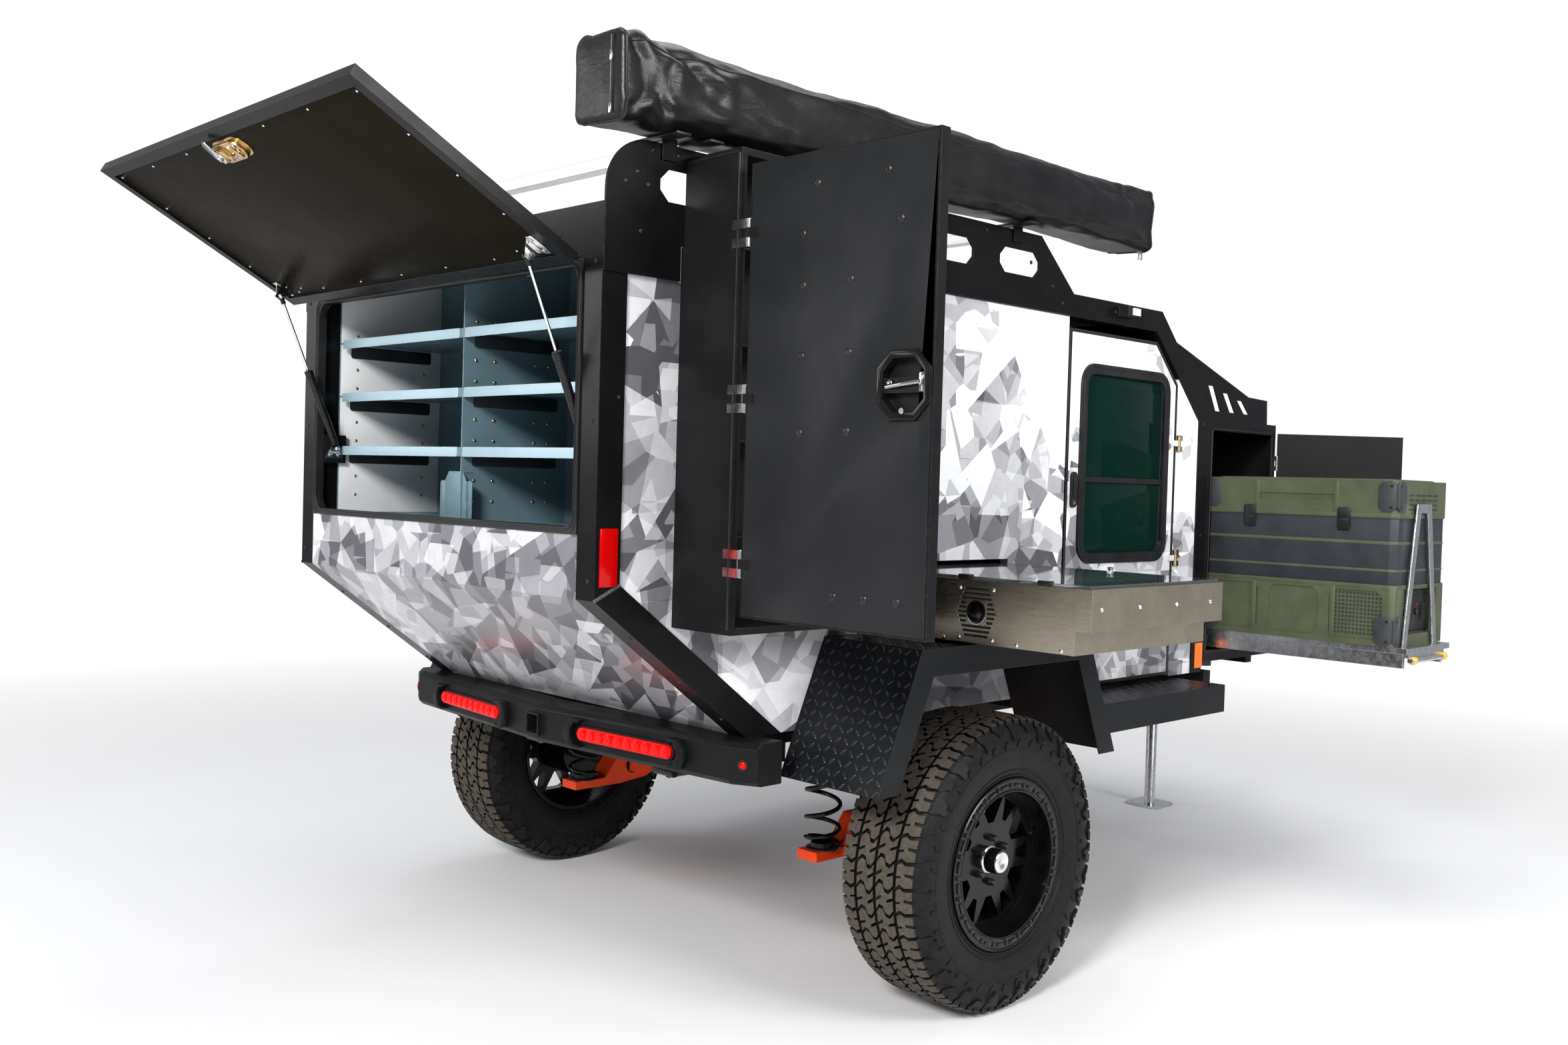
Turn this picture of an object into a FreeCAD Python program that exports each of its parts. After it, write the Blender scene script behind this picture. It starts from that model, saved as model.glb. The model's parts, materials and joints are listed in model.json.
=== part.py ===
import FreeCAD, Part
import math
import operator
import os

import Sketcher

# A squared-off teardrop camping trailer: +X is the kerb side, +Y is forward, +Z is up.
# Sizes are in millimetres, measured from the axle line, the ground and the centre plane.
# Every sub-part is placed so that the origin is the mouth of the ball coupler.

doc = FreeCAD.newDocument("Trailer")
sheet = doc.addObject("Spreadsheet::Sheet", "dims")

SIZES = {
    # body shell
    "half_width": 775, "rear_behind": 1162, "front_ahead": 1658, "roof_height": 2109,
    "floor_height": 783, "knee_rise": 378, "slant_run": 501, "slope_run": 358,
    "slope_drop": 347, "tube_size": 75, "panel_thick": 30, "panel_recess": 5,
    "skin_thick": 25, "sill_rise": 156, "header_drop": 129,
    # entry doors and their windows
    "door_wide": 697, "door_past_bend": 133, "door_rise": 9, "door_drop": 113,
    "door_gap": 8, "door_slope_gap": 30, "hinge_out": 6, "hinge_long": 60,
    "entry_hinge_rise": 398, "entry_hinge_pitch": 420,
    "window_from_rear": 77, "window_from_front": 63, "window_rise": 418,
    "window_drop": 106, "window_frame": 34, "window_round": 75, "window_proud": 8,
    "glass_thick": 6, "glass_deep": 14, "bar_rise": 286, "bar_half": 9,
    # rear hatch
    "hatch_side_gap": 35, "hatch_sill_gap": 13, "hatch_head_gap": 5, "hatch_out": 1198,
    "hatch_thick": 28, "hatch_edge": 32, "hatch_dish": 6, "hatch_open": 119,
    "latch_rise": 75, "latch_wide": 130, "latch_tall": 56, "latch_proud": 16,
    "seal_width": 18, "seal_round": 40, "seal_proud": 3, "seal_deep": 22,
    # gas struts
    "strut_inboard": 40, "strut_inset": 52, "strut_arm": 80, "strut_stand": 55,
    "strut_radius": 11, "rod_radius": 4, "strut_eye": 9, "eye_half": 5, "ear_thick": 4,
    # rear compartment
    "galley_deep": 400, "galley_inset": 30, "shelf_thick": 3, "shelf_lip": 26,
    "lip_above": 10, "shelf_first": 201, "shelf_last": 132, "divider_x": 30,
    "sheet_thick": 4, "lip_inset": 22,
    # pantry cabinet and its door
    "pantry_deep": 212, "pantry_inset": 241, "pantry_long": 625, "pantry_below": 74,
    "pantry_above": 140, "pantry_wall": 18, "pantry_axis_out": 27, "pantry_axis_in": 6,
    "pantry_leaf": 28, "leaf_start": 10, "leaf_wide": 579, "leaf_rise": 48,
    "leaf_drop": 46, "grip_from_edge": 80, "grip_drop": 533, "grip_half": 74,
    "grip_band": 16, "grip_proud": 8, "grip_deep": 18, "pantry_hinge": 66,
    "pantry_hinge_rise": 93, "pantry_hinge_lift": 100, "shelf_setback": 40,
    # nose box and its doors
    "nose_deep": 527, "nose_rise": 35, "nose_drop": 19, "nose_wall": 20,
    "bay_gap": 32, "bay_rise": 44, "bay_drop": 43, "leaf_gap": 5, "nose_leaf": 20,
    "nose_axis_ahead": 5, "nose_open": 135, "leaf_lap": 10,
    "bay_front_gap": 25, "nose_hinge_rise": 112, "nose_hinge_drop": 183,
    "gusset_thick": 5, "gusset_tall": 95, "gusset_start": 100, "gusset_back": 75,
    "gusset_flat": 152, "gusset_slot": 38, "gusset_pitch": 110,
    # fridge and its slide
    "fridge_out": 710, "fridge_long": 740, "fridge_gap": 5, "fridge_slack": 25,
    "fridge_rise": 83, "fridge_head": 175, "fridge_lid": 129, "fridge_base": 211,
    "fridge_round": 22, "fridge_panel": 5, "fridge_margin": 40, "tray_thick": 14,
    "tray_proud": 45, "runner_tall": 50, "frame_bar": 32, "frame_head": 60,
    # roof rack and awning bag
    "rack_rise": 163, "rack_round": 130, "rack_skirt": 164, "rack_skirt_long": 232,
    "rack_thick": 5, "rack_front": 742, "rack_lean": 188, "bar_wide": 40,
    "bar_tall": 30, "bar_above": 110, "slot_above": 25, "slot_tall": 78, "slot_cut": 26,
    "bag_wide": 190, "bag_tall": 200, "bag_long": 2250, "bag_overhang": 38,
    "bag_above": 15, "bag_out": 12, "bag_round": 45, "bracket_wide": 45,
    "rack_slot": 200, "rack_slot_start": 162, "rack_slot_pitch": 335,
    # sliding kitchen
    "kitchen_out": 755, "kitchen_rear": 210, "kitchen_wide": 640, "kitchen_rise": 261,
    "kitchen_tall": 170, "kitchen_long": 790, "kitchen_step": 52, "fascia_tall": 106,
    "lid_thick": 8, "slot_gap": 12, "grille_out": 389, "grille_half": 65,
    "grille_pitch": 12.5, "grille_slot": 5, "grille_deep": 8, "grille_rise": 83,
    "grille_taper": 5, "knob_radius": 30, "basin_long": 330, "stove_deep": 45,
    # wheels and running gear
    "tyre_radius": 413, "tyre_wide": 286, "wheel_offset": 241, "rim_radius": 228,
    "spindle_radius": 30, "fender_over": 29, "fender_rise": 252, "fender_drop": 118,
    "fender_thick": 5, "fender_flange": 75, "fender_flat": 378, "fender_foot": 534,
    "arm_inset": 60, "arm_wide": 80, "pivot_ahead": 500, "pivot_drop": 83,
    "pivot_radius": 34, "coil_behind": 188, "coil_radius": 50, "coil_wire": 7,
    "shock_ahead": 20, "shock_radius": 26, "bead_flare": 10, "bead_rise": 25, "ring_rise": 11,
    "bead_inset": 31, "tyre_flank": 70,
    "bead_ring": 26, "spoke_face": 62, "spoke_thick": 42, "hub_inboard": 150,
    "hub_radius": 90, "cap_proud": 42, "spindle_past": 84, "fork_root": 118,
    "window_root": 105, "window_tip": 178,
    # chassis
    "rail_inset": 275, "rail_wide": 50, "rail_tall": 100, "tail_gap": 21,
    "tongue_reach": 775, "tongue_tip_half": 60, "coupler_reach": 90, "coupler_drop": 63,
    "ball_radius": 25.6, "ball_deep": 36, "cross_wide": 60, "cross_behind": 180,
    "cross_ahead": 1000, "link_long": 46, "link_wide": 30, "link_wire": 7,
    "chain_x": 38, "chain_back": 80,
    # jack, stabilisers, bumper and steps
    "jack_back": 360, "jack_radius": 30, "leg_radius": 24, "jack_below": 263,
    "jack_above": 217, "leg_hidden": 230, "foot_half": 85, "stabiliser_x": 330,
    "stabiliser_drop": 73, "stabiliser_long": 410, "bumper_out": 85, "bumper_tall": 113,
    "bumper_sweep": 65, "receiver_half": 33, "receiver_bore": 25.5, "receiver_drop": 57.5,
    "lamp_start": 205, "lamp_long": 385, "lamp_proud": 16, "lamp_half": 19,
    "stabiliser_eye": 23, "step_start": 620,
    "step_long": 880, "step_out": 190, "step_tall": 98, "step_drop": 13,
    # clearances
    "touch_gap": 0.3, "run_fit": 0.06,
}
for row, (alias, amount) in enumerate(SIZES.items(), 1):
    sheet.set(f"A{row}", alias.replace("_", " "))
    sheet.set(f"B{row}", str(amount))
    sheet.setAlias(f"B{row}", alias)
doc.recompute()

SIGNS = {"+": operator.add, "-": operator.sub, "*": operator.mul, "/": operator.truediv}


class Size:
    """A length that knows its value and the sheet expression it is worked out from."""

    def __init__(self, value, text):
        self.value, self.text = float(value), text

    def __add__(self, other):
        return joined(self, "+", other)

    def __radd__(self, other):
        return joined(other, "+", self)

    def __sub__(self, other):
        return joined(self, "-", other)

    def __rsub__(self, other):
        return joined(other, "-", self)

    def __mul__(self, other):
        return joined(self, "*", other)

    def __rmul__(self, other):
        return joined(other, "*", self)

    def __truediv__(self, other):
        return joined(self, "/", other)

    def __neg__(self):
        return joined(0, "-", self)

    def __float__(self):
        return self.value


def size(number):
    return number if isinstance(number, Size) else Size(number, f"({float(number)})")


def joined(first, sign, second):
    first, second = size(first), size(second)
    return Size(SIGNS[sign](first.value, second.value), f"({first.text} {sign} {second.text})")


def sine(turn):
    return Size(math.sin(math.radians(turn.value)), f"sin({turn.text})")


def cosine(turn):
    return Size(math.cos(math.radians(turn.value)), f"cos({turn.text})")


def diagonal(across, up):
    return Size(math.hypot(across.value, up.value), f"sqrt({across.text}^2 + {up.text}^2)")


class Sheet:
    """Reads each alias of the sheet as a Size."""

    def __getattr__(self, alias):
        return Size(sheet.get(alias), f"dims.{alias}")


D = Sheet()
OVER = 5
X, Y, Z = FreeCAD.Vector(1, 0, 0), FreeCAD.Vector(0, 1, 0), FreeCAD.Vector(0, 0, 1)
TURNS = {
    "x": FreeCAD.Rotation(FreeCAD.Vector(1, 1, 1), 120),
    "y": FreeCAD.Rotation(X, 90),
    "z": FreeCAD.Rotation(),
}
NORMALS = {"x": X, "y": Y, "z": Z}
nodes = []


def add(kind, name):
    return doc.addObject(kind, name)


def bind(thing, prop, amount):
    amount = size(amount)
    thing.setExpression(prop, amount.text)
    return amount.value


def put(thing, x, y, z):
    spot = FreeCAD.Vector(float(size(x)), float(size(y)), float(size(z)))
    thing.Placement = FreeCAD.Placement(spot, thing.Placement.Rotation)
    for letter, amount in zip("xyz", (x, y, z)):
        bind(thing, f"Placement.Base.{letter}", amount)


def past(span, by=OVER):
    """A span run on past both of its ends, for a tool that cuts right through."""
    return (size(span[0]) - by, size(span[1]) + by)


def about(middle, half_span):
    return (middle - half_span, middle + half_span)


def box(name, x, y, z):
    """A block between three pairs of limits."""
    block = add("Part::Box", name)
    for prop, (low, high) in zip(("Length", "Width", "Height"), (x, y, z)):
        setattr(block, prop, bind(block, prop, size(high) - low))
    put(block, x[0], y[0], z[0])
    return block


def rod(name, along, radius, span, u, v):
    """A round bar along one axis; u and v are the other two coordinates in order."""
    bar = add("Part::Cylinder", name)
    bar.Radius = bind(bar, "Radius", radius)
    bar.Height = bind(bar, "Height", size(span[1]) - span[0])
    turn = {"x": FreeCAD.Rotation(Y, 90), "y": FreeCAD.Rotation(X, -90), "z": FreeCAD.Rotation()}
    bar.Placement = FreeCAD.Placement(FreeCAD.Vector(), turn[along])
    spot = {"x": (span[0], u, v), "y": (u, span[0], v), "z": (u, v, span[0])}[along]
    put(bar, *spot)
    return bar


def outline(name, normal, corners, start=0):
    """A closed sketch of straight lines through corners, each corner held to the sheet."""
    sketch = add("Sketcher::SketchObject", name)
    sketch.Placement = FreeCAD.Placement(FreeCAD.Vector(), TURNS[normal])
    put(sketch, *[start if letter == normal else 0 for letter in "xyz"])
    spots = [FreeCAD.Vector(float(size(u)), float(size(v)), 0) for u, v in corners]
    count = len(spots)
    for first, second in zip(spots, spots[1:] + spots[:1]):
        sketch.addGeometry(Part.LineSegment(first, second), False)
    for index in range(count):
        following = (index + 1) % count
        sketch.addConstraint(Sketcher.Constraint("Coincident", index, 2, following, 1))
    for index, corner in enumerate(corners):
        for way, amount in zip(("DistanceX", "DistanceY"), corner):
            number = sketch.addConstraint(
                Sketcher.Constraint(way, -1, 1, index, 1, float(size(amount)))
            )
            bind(sketch, f"Constraints[{number}]", amount)
    return sketch


def pushed(name, base, normal, depth):
    solid = add("Part::Extrusion", name)
    solid.Base = base
    solid.DirMode = "Custom"
    solid.Dir = NORMALS[normal]
    solid.LengthFwd = bind(solid, "LengthFwd", depth)
    solid.Solid = True
    return solid


def prism(name, normal, corners, span):
    """An outline pushed along its normal from span[0] to span[1]."""
    sketch = outline(name + "_outline", normal, corners, span[0])
    return pushed(name, sketch, normal, size(span[1]) - span[0])


def cut_corners(u, v, cut):
    """The eight corners of a rectangle whose own corners are cut off."""
    (u0, u1), (v0, v1) = u, v
    return [
        (u0 + cut, v0), (u1 - cut, v0), (u1, v0 + cut), (u1, v1 - cut),
        (u1 - cut, v1), (u0 + cut, v1), (u0, v1 - cut), (u0, v0 + cut),
    ]


def knuckle(name, along, radius, span, u, v):
    """A small eight-sided bar along one axis, round enough for a hinge or an eye."""
    reach = size(radius) / math.cos(math.pi / 8)
    spread = [math.pi / 8 * step for step in range(1, 16, 2)]
    corners = [(u + reach * math.cos(turn), v + reach * math.sin(turn)) for turn in spread]
    return prism(name, along, corners, span)


# the wheels are the largest round pieces, so their circles are cut in chords
WHEEL_CHORDS = 72


def chorded(name, corners, height):
    """Corners (along the axle, radius) carried round a cross axis in equal flat chords."""
    ring = [(float(size(u)), float(size(v))) for u, v in corners]
    middle, step = float(size(height)), 2 * math.pi / WHEEL_CHORDS
    loops = [
        [FreeCAD.Vector(u, v * math.sin(step * k), middle + v * math.cos(step * k)) for u, v in ring]
        for k in range(WHEEL_CHORDS)
    ]
    faces = []
    for loop, after in zip(loops, loops[1:] + loops[:1]):
        for corner in range(len(ring)):
            beside = corner - 1
            flat = [loop[beside], loop[corner], after[corner], after[beside], loop[beside]]
            faces.append(Part.Face(Part.makePolygon(flat)))
    skin = Part.makeShell(faces)
    skin.sewShape()
    solid = Part.makeSolid(Part.Shell(skin.Faces))
    if solid.Volume < 0:
        solid.reverse()
    piece = add("Part::Feature", name)
    piece.Shape = solid
    return piece


def fuse(name, *pieces):
    whole = add("Part::MultiFuse", name)
    whole.Shapes = list(pieces)
    whole.Refine = True
    return whole


def cut(name, base, *tools):
    rest = add("Part::Cut", name)
    rest.Base = base
    rest.Tool = tools[0] if len(tools) == 1 else fuse(name + "_tools", *tools)
    return rest


def common(name, first, second):
    part = add("Part::Common", name)
    part.Base, part.Tool = first, second
    return part


def mirrored(name, source):
    """The same piece on the road side."""
    twin = add("Part::Mirroring", name)
    twin.Source = source
    twin.Normal = X
    return twin


def both_sides(*pieces):
    """Pieces of the kerb side, each followed by its mirror image."""
    pairs = [(piece, mirrored(piece.Name + "_left", piece)) for piece in pieces]
    return [piece for pair in pairs for piece in pair]


def rounded(name, base, radius, along, spots=None, reach=2.0):
    """Rounds the edges of a piece that run along one axis, all or those at given spots."""
    doc.recompute()
    way = NORMALS[along]
    chosen = []
    for index, edge in enumerate(base.Shape.Edges, 1):
        first, last = edge.Vertexes[0].Point, edge.Vertexes[-1].Point
        run = last - first
        if run.Length < 1e-6 or run.cross(way).Length > 1e-6 * run.Length:
            continue
        here = [value for letter, value in zip("xyz", first) if letter != along]
        near = spots is None or any(
            math.hypot(here[0] - float(size(u)), here[1] - float(size(v))) < reach
            for u, v in spots
        )
        if near:
            chosen.append((index, float(size(radius)), float(size(radius))))
    smooth = add("Part::Fillet", name)
    smooth.Base = base
    smooth.Edges = chosen
    return smooth


def moved(name, source, angle, axis, centre, shift=(0, 0, 0)):
    """A piece turned about an axis through a point and then shifted."""
    hub = FreeCAD.Vector(*[float(size(amount)) for amount in centre])
    turn = FreeCAD.Rotation(axis, float(size(angle)))
    twin = add("Part::Compound", name)
    twin.Links = [source]
    spot = hub - turn.multVec(hub) + FreeCAD.Vector(*[float(size(amount)) for amount in shift])
    twin.Placement = FreeCAD.Placement(spot, turn)
    return twin


def node(label, *solids):
    """One sub-part of the trailer, moved so that the coupler's mouth is the origin."""
    part = add("Part::Compound", label)
    part.Label = label
    part.Links = list(solids)
    put(part, 0, -coupler_ahead, -coupler_height)
    nodes.append(part)
    return part


def hinge(name, along, start, length, u, v, leaf, radius):
    """The fixed and the moving half of a three-knuckle hinge, its hidden pin left out.

    leaf gives, for each half, the two pairs of limits of its plate across the axis.
    """
    low, high, end = start + length / 3, start + length / 3 * 2, start + length
    spans = ((start, low), (high, end), (low + D.run_fit, high - D.run_fit))
    halves = ([], [])
    for index, span in enumerate(spans):
        across = list(leaf[index // 2])
        limits = {"x": [span] + across, "y": [across[0], span, across[1]], "z": across + [span]}
        halves[index // 2].append(knuckle(f"{name}_knuckle_{index}", along, radius, span, u, v))
        halves[index // 2].append(box(f"{name}_leaf_{index}", *limits[along]))
    return fuse(name + "_fixed", *halves[0]), fuse(name + "_moving", *halves[1])


# Heights and lengths that many pieces share

half, rear, front = D.half_width, -D.rear_behind, D.front_ahead
roof, floor = D.roof_height, D.floor_height
knee = floor + D.knee_rise
bend, slope_foot = front - D.slope_run, roof - D.slope_drop
slope_fall = D.slope_drop / D.slope_run
slope_thicken = diagonal(D.slope_run, D.slope_drop) / D.slope_run
sill, header_low = knee + D.sill_rise, roof - D.header_drop
inner = half - D.tube_size
wall_out = half - D.panel_recess
wall_in = wall_out - D.panel_thick
deck = floor + D.skin_thick
rail_out, rail_low = half - D.rail_inset, floor - D.rail_tall
nose_front = front + D.nose_deep
tongue_tip = nose_front + D.tongue_reach
coupler_ahead, coupler_height = tongue_tip + D.coupler_reach, rail_low - D.coupler_drop
wheel_track, axle_z = half + D.wheel_offset, D.tyre_radius
tail = rear + D.slant_run + D.tail_gap


def roof_line(y):
    """Height of the sloping front of the body above a place y."""
    return roof - slope_fall * (y - bend)


# Body shell

slant_fall = D.slant_run / D.knee_rise


def side_profile(bottom):
    """The body's outline from the side, carried down to a height along the rear slant."""
    return [
        (rear + D.slant_run + (floor - bottom) * slant_fall, bottom),
        (rear, knee), (rear, roof), (bend, roof), (front, slope_foot), (front, bottom),
    ]


def inset(name, sketch, depth):
    smaller = add("Part::Offset2D", name)
    smaller.Source = sketch
    smaller.Value = -float(size(depth))
    bind(smaller, "Value", -size(depth))
    smaller.Join = 2
    return smaller


deep_outline = outline("deep_outline", "x", side_profile(floor - D.tube_size), -half)
deep_solid = pushed("deep_solid", deep_outline, "x", half * 2)
core = pushed("core", inset("core_outline", deep_outline, D.tube_size), "x", half * 2)
ring = cut("side_ring", deep_solid, core)
arch_slice = box("arch_slice", (inner, half), past((rear, front)), (floor, roof + OVER))
arch = common("arch_right", ring, arch_slice)
header = box("header", (-inner, inner), (rear, rear + D.tube_size), (header_low, roof))
beam_top = slope_foot - D.tube_size
front_beam = box(
    "front_post_beam", (-inner, inner), (front - D.tube_size, front - D.skin_thick),
    (beam_top - D.tube_size, beam_top),
)
body_frame = fuse("body_frame_weld", *both_sides(arch), header, front_beam)
node("body_frame", body_frame)

shell_outline = outline("shell_outline", "x", side_profile(floor), -wall_in)
shell_inset = inset("shell_inset", shell_outline, D.skin_thick)
shell_core = pushed("shell_core", shell_inset, "x", wall_in * 2)
shell_solid = pushed("shell_solid", shell_outline, "x", wall_in * 2)
shell = cut("shell", shell_solid, shell_core, body_frame)


def slice_of_shell(name, y, z):
    return common(name, shell, box(name + "_slice", (-wall_in, wall_in), y, z))


floor_start = tail + D.tube_size
node("roof_panel", slice_of_shell("roof_cut", (rear + D.tube_size, bend), (roof - D.tube_size, roof)))
node("front_slope_panel", slice_of_shell("slope_cut", (bend, front), (slope_foot, roof)))
node("front_wall", slice_of_shell("front_cut", (front - D.tube_size, front), (deck, slope_foot)))
node("floor_panel", slice_of_shell("floor_cut", (floor_start, front), (floor, deck)))
node("rear_panels", slice_of_shell("slant_cut", (rear, floor_start), (floor, sill)))

# Side walls: one long panel behind each door and a narrow one ahead of it

door_front = bend + D.door_past_bend
door_rear = door_front - D.door_wide
kitchen_y = (-D.kitchen_rear, D.kitchen_wide - D.kitchen_rear)
kitchen_low = floor + D.kitchen_rise
kitchen_top = kitchen_low + D.kitchen_tall


def wall_slice(name, y):
    return common(name, core, box(name + "_slice", (wall_in, wall_out), y, (floor, roof)))


long_wall = wall_slice("long_wall", (rear, door_rear))
short_wall = wall_slice("short_wall", (door_front, front))
kitchen_slot = box(
    "kitchen_slot", past((wall_in, wall_out)), past(kitchen_y, D.slot_gap),
    past((kitchen_low, kitchen_top + D.lid_thick), D.slot_gap),
)
node(
    "side_panels", cut("kerb_wall", long_wall, kitchen_slot),
    mirrored("long_wall_left", long_wall), *both_sides(short_wall),
)

# Rear compartment: shelves with front lips, a divider and a bulkhead

galley_rear = rear + D.galley_inset
galley_front = galley_rear + D.galley_deep
column = rear + D.tube_size
shelf_rear = column + 2
galley_z = (sill, roof - D.skin_thick - 2)
sheet_t = D.sheet_thick
galley_pieces = [
    box("galley_floor", (-inner, inner), (galley_rear, galley_front), (sill, sill + sheet_t)),
    box("galley_back", (-inner, inner), (galley_front - sheet_t, galley_front), galley_z),
    box("galley_divider", (D.divider_x, D.divider_x + sheet_t), (shelf_rear, galley_front), galley_z),
    box("galley_side_right", (inner - sheet_t, inner), (column, galley_front), galley_z),
    box("galley_side_left", (-inner, sheet_t - inner), (column, galley_front), galley_z),
]
shelf_end = inner - D.lip_inset
shelf_step = (header_low - sill - D.shelf_first - D.shelf_last) / 2
for level in range(3):
    base = sill + D.shelf_first + shelf_step * level
    shelf_z = (base, base + D.shelf_thick)
    lip_z = (base - D.shelf_lip + D.lip_above, base + D.lip_above)
    lip_y = (shelf_rear, shelf_rear + D.shelf_thick)
    galley_pieces += [
        box(f"shelf_{level}", (-shelf_end, shelf_end), (shelf_rear, galley_front), shelf_z),
        box(f"shelf_lip_{level}", (-shelf_end, shelf_end), lip_y, lip_z),
        box(f"shelf_end_right_{level}", (shelf_end, inner), (column, galley_front), shelf_z),
        box(f"shelf_end_left_{level}", (-inner, -shelf_end), (column, galley_front), shelf_z),
    ]
node("galley_unit", fuse("galley_weld", *galley_pieces))


# Rubber seal round the rear opening

def frame_ring(name, normal, span, outer, width, radius):
    """A ring with rounded corners: outer gives its limits, width its band."""
    (u0, u1), (v0, v1) = outer
    whole = prism(name + "_outer", normal, [(u0, v0), (u1, v0), (u1, v1), (u0, v1)], span)
    low_u, high_u, low_v, high_v = u0 + width, u1 - width, v0 + width, v1 - width
    inside = [(low_u, low_v), (high_u, low_v), (high_u, high_v), (low_u, high_v)]
    hole = prism(name + "_hole", normal, inside, past(span))
    return cut(name, whole, rounded(name + "_round", hole, radius, normal))


seal = frame_ring(
    "seal_ring", "y", (rear - D.seal_proud, rear + D.seal_deep),
    ((-inner, inner), (sill, header_low)), D.seal_width, D.seal_round,
)
node("hatch_seal", seal)

# Hatch, drawn shut and then raised about its hinge

hatch_y = -D.hatch_out
hatch_half = half - D.hatch_side_gap
hatch_low, hatch_top = sill + D.hatch_sill_gap, header_low - D.hatch_head_gap
hatch_face = hatch_y + D.hatch_thick
hatch_skin = box(
    "hatch_skin", (-hatch_half, hatch_half), (hatch_y, hatch_face), (hatch_low, hatch_top)
)
hatch_dish = box(
    "hatch_dish", (D.hatch_edge - hatch_half, hatch_half - D.hatch_edge),
    (hatch_face - D.hatch_dish, hatch_face + OVER),
    (hatch_low + D.hatch_edge, hatch_top - D.hatch_edge),
)
latch_z = about(hatch_low + D.latch_rise, D.latch_tall / 2)
hatch_latch = prism(
    "hatch_latch", "y", cut_corners(about(size(0), D.latch_wide / 2), latch_z, D.latch_tall / 3),
    (hatch_face - D.hatch_dish - 2, hatch_face - D.hatch_dish + D.latch_proud),
)
hinge_y, hinge_z = hatch_y - 2, header_low + 1
strut_x = inner - D.strut_inboard
ear_x = (strut_x + D.eye_half + D.touch_gap, strut_x + D.eye_half + D.touch_gap + D.ear_thick)
ear_y = hinge_y + D.strut_stand
ear_z = about(hinge_z - D.strut_arm, 12)
strut_ear = box("strut_ear", ear_x, (hatch_face - D.hatch_dish - 2, ear_y + D.strut_eye), ear_z)
hinge_radius = 4
hatch_fixed, hatch_moving = hinge(
    "hatch_hinge", "x", 60 - hatch_half, hatch_half * 2 - 120, hinge_y, hinge_z,
    (((hinge_y, rear), (hinge_z + 1.5, hinge_z + hinge_radius)),
     ((hinge_y, hatch_y), (hatch_top - 40, hinge_z))),
    hinge_radius,
)
hatch_shut = fuse(
    "hatch_shut", cut("hatch_panel", hatch_skin, hatch_dish), hatch_latch, hatch_moving,
    *both_sides(strut_ear),
)
node("hatch", moved("hatch_raised", hatch_shut, D.hatch_open, -X, (0, hinge_y, hinge_z)))

# Gas struts, drawn upright and then leaned to the raised hatch

strut_foot = (rear + D.strut_inset, sill + (header_low - sill) * 0.3062)
swing, swing_up = sine(D.hatch_open), cosine(D.hatch_open)
strut_run = hinge_y - swing * D.strut_arm + swing_up * D.strut_stand - strut_foot[0]
strut_rise = hinge_z - swing_up * D.strut_arm - swing * D.strut_stand - strut_foot[1]
strut_long = diagonal(strut_run, strut_rise)
strut_lean = math.degrees(math.atan2(-float(strut_run), float(strut_rise)))
strut_body, eye_x = strut_long * 0.51, about(strut_x, D.eye_half)
foot_y, foot_z = strut_foot
tube_low = foot_z + D.strut_eye * 1.5
tube = rod("strut_tube", "z", D.strut_radius, (tube_low, foot_z + strut_body), strut_x, foot_y)
neck = box("strut_neck", eye_x, about(foot_y, D.eye_half), (foot_z, tube_low + 1))
bore_z = (tube_low + D.strut_eye / 2, foot_z + strut_body + OVER)
strut_bore = rod("strut_bore", "z", D.rod_radius + D.run_fit, bore_z, strut_x, foot_y)
foot_eye = knuckle("strut_foot_eye", "x", D.strut_eye, eye_x, *strut_foot)
tube_weld = fuse("strut_tube_weld", tube, neck, foot_eye)
cylinder_piece = cut("strut_tube_cut", tube_weld, strut_bore)
strut_top = foot_z + strut_long
shaft_z = (foot_z + strut_body * 0.9, strut_top - D.rod_radius)
shaft = rod("strut_shaft", "z", D.rod_radius, shaft_z, strut_x, foot_y)
tip = knuckle("strut_tip", "x", D.strut_eye - 1, eye_x, foot_y, strut_top)
rod_piece = fuse("rod_weld", shaft, tip)
for label, piece in (("strut_cylinder", cylinder_piece), ("strut_rod", rod_piece)):
    leaned = moved(label + "_lean", piece, strut_lean, X, (strut_x, *strut_foot))
    node(label + "_right", leaned)
    node(label + "_left", mirrored(label + "_mirror", leaned))

# Pantry cabinet on the kerb side, with shelves

rack_out, rack_low = half + D.rack_thick, roof - D.tube_size + 1
pantry_out = half + D.pantry_deep
pantry_rear = rear + D.pantry_inset
pantry_y = (pantry_rear, pantry_rear + D.pantry_long)
pantry_low, pantry_top = knee - D.pantry_below, roof + D.pantry_above
room_x = rack_out + D.pantry_wall
room_y, room_z = past(pantry_y, -D.pantry_wall), past((pantry_low, pantry_top), -D.pantry_wall)
cabinet_block = fuse(
    "cabinet_block",
    box("cabinet_low", (wall_out, pantry_out), pantry_y, (pantry_low, rack_low - OVER)),
    box("cabinet_high", (rack_out, pantry_out), pantry_y, (pantry_low, pantry_top)),
)
cabinet_room = box("cabinet_room", (room_x, pantry_out + OVER), room_y, room_z)
pantry_shelves = []
for level in range(1, 5):
    height = pantry_low + (pantry_top - pantry_low) / 5 * level
    shelf_x, shelf_z = (room_x, pantry_out - D.shelf_setback), (height, height + D.sheet_thick)
    pantry_shelves.append(box(f"pantry_shelf_{level}", shelf_x, room_y, shelf_z))
cabinet_shell = cut("cabinet_shell", cabinet_block, cabinet_room)
node("pantry_cabinet", fuse("cabinet", cabinet_shell, *pantry_shelves))

# Pantry door, standing open square to the side


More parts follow.
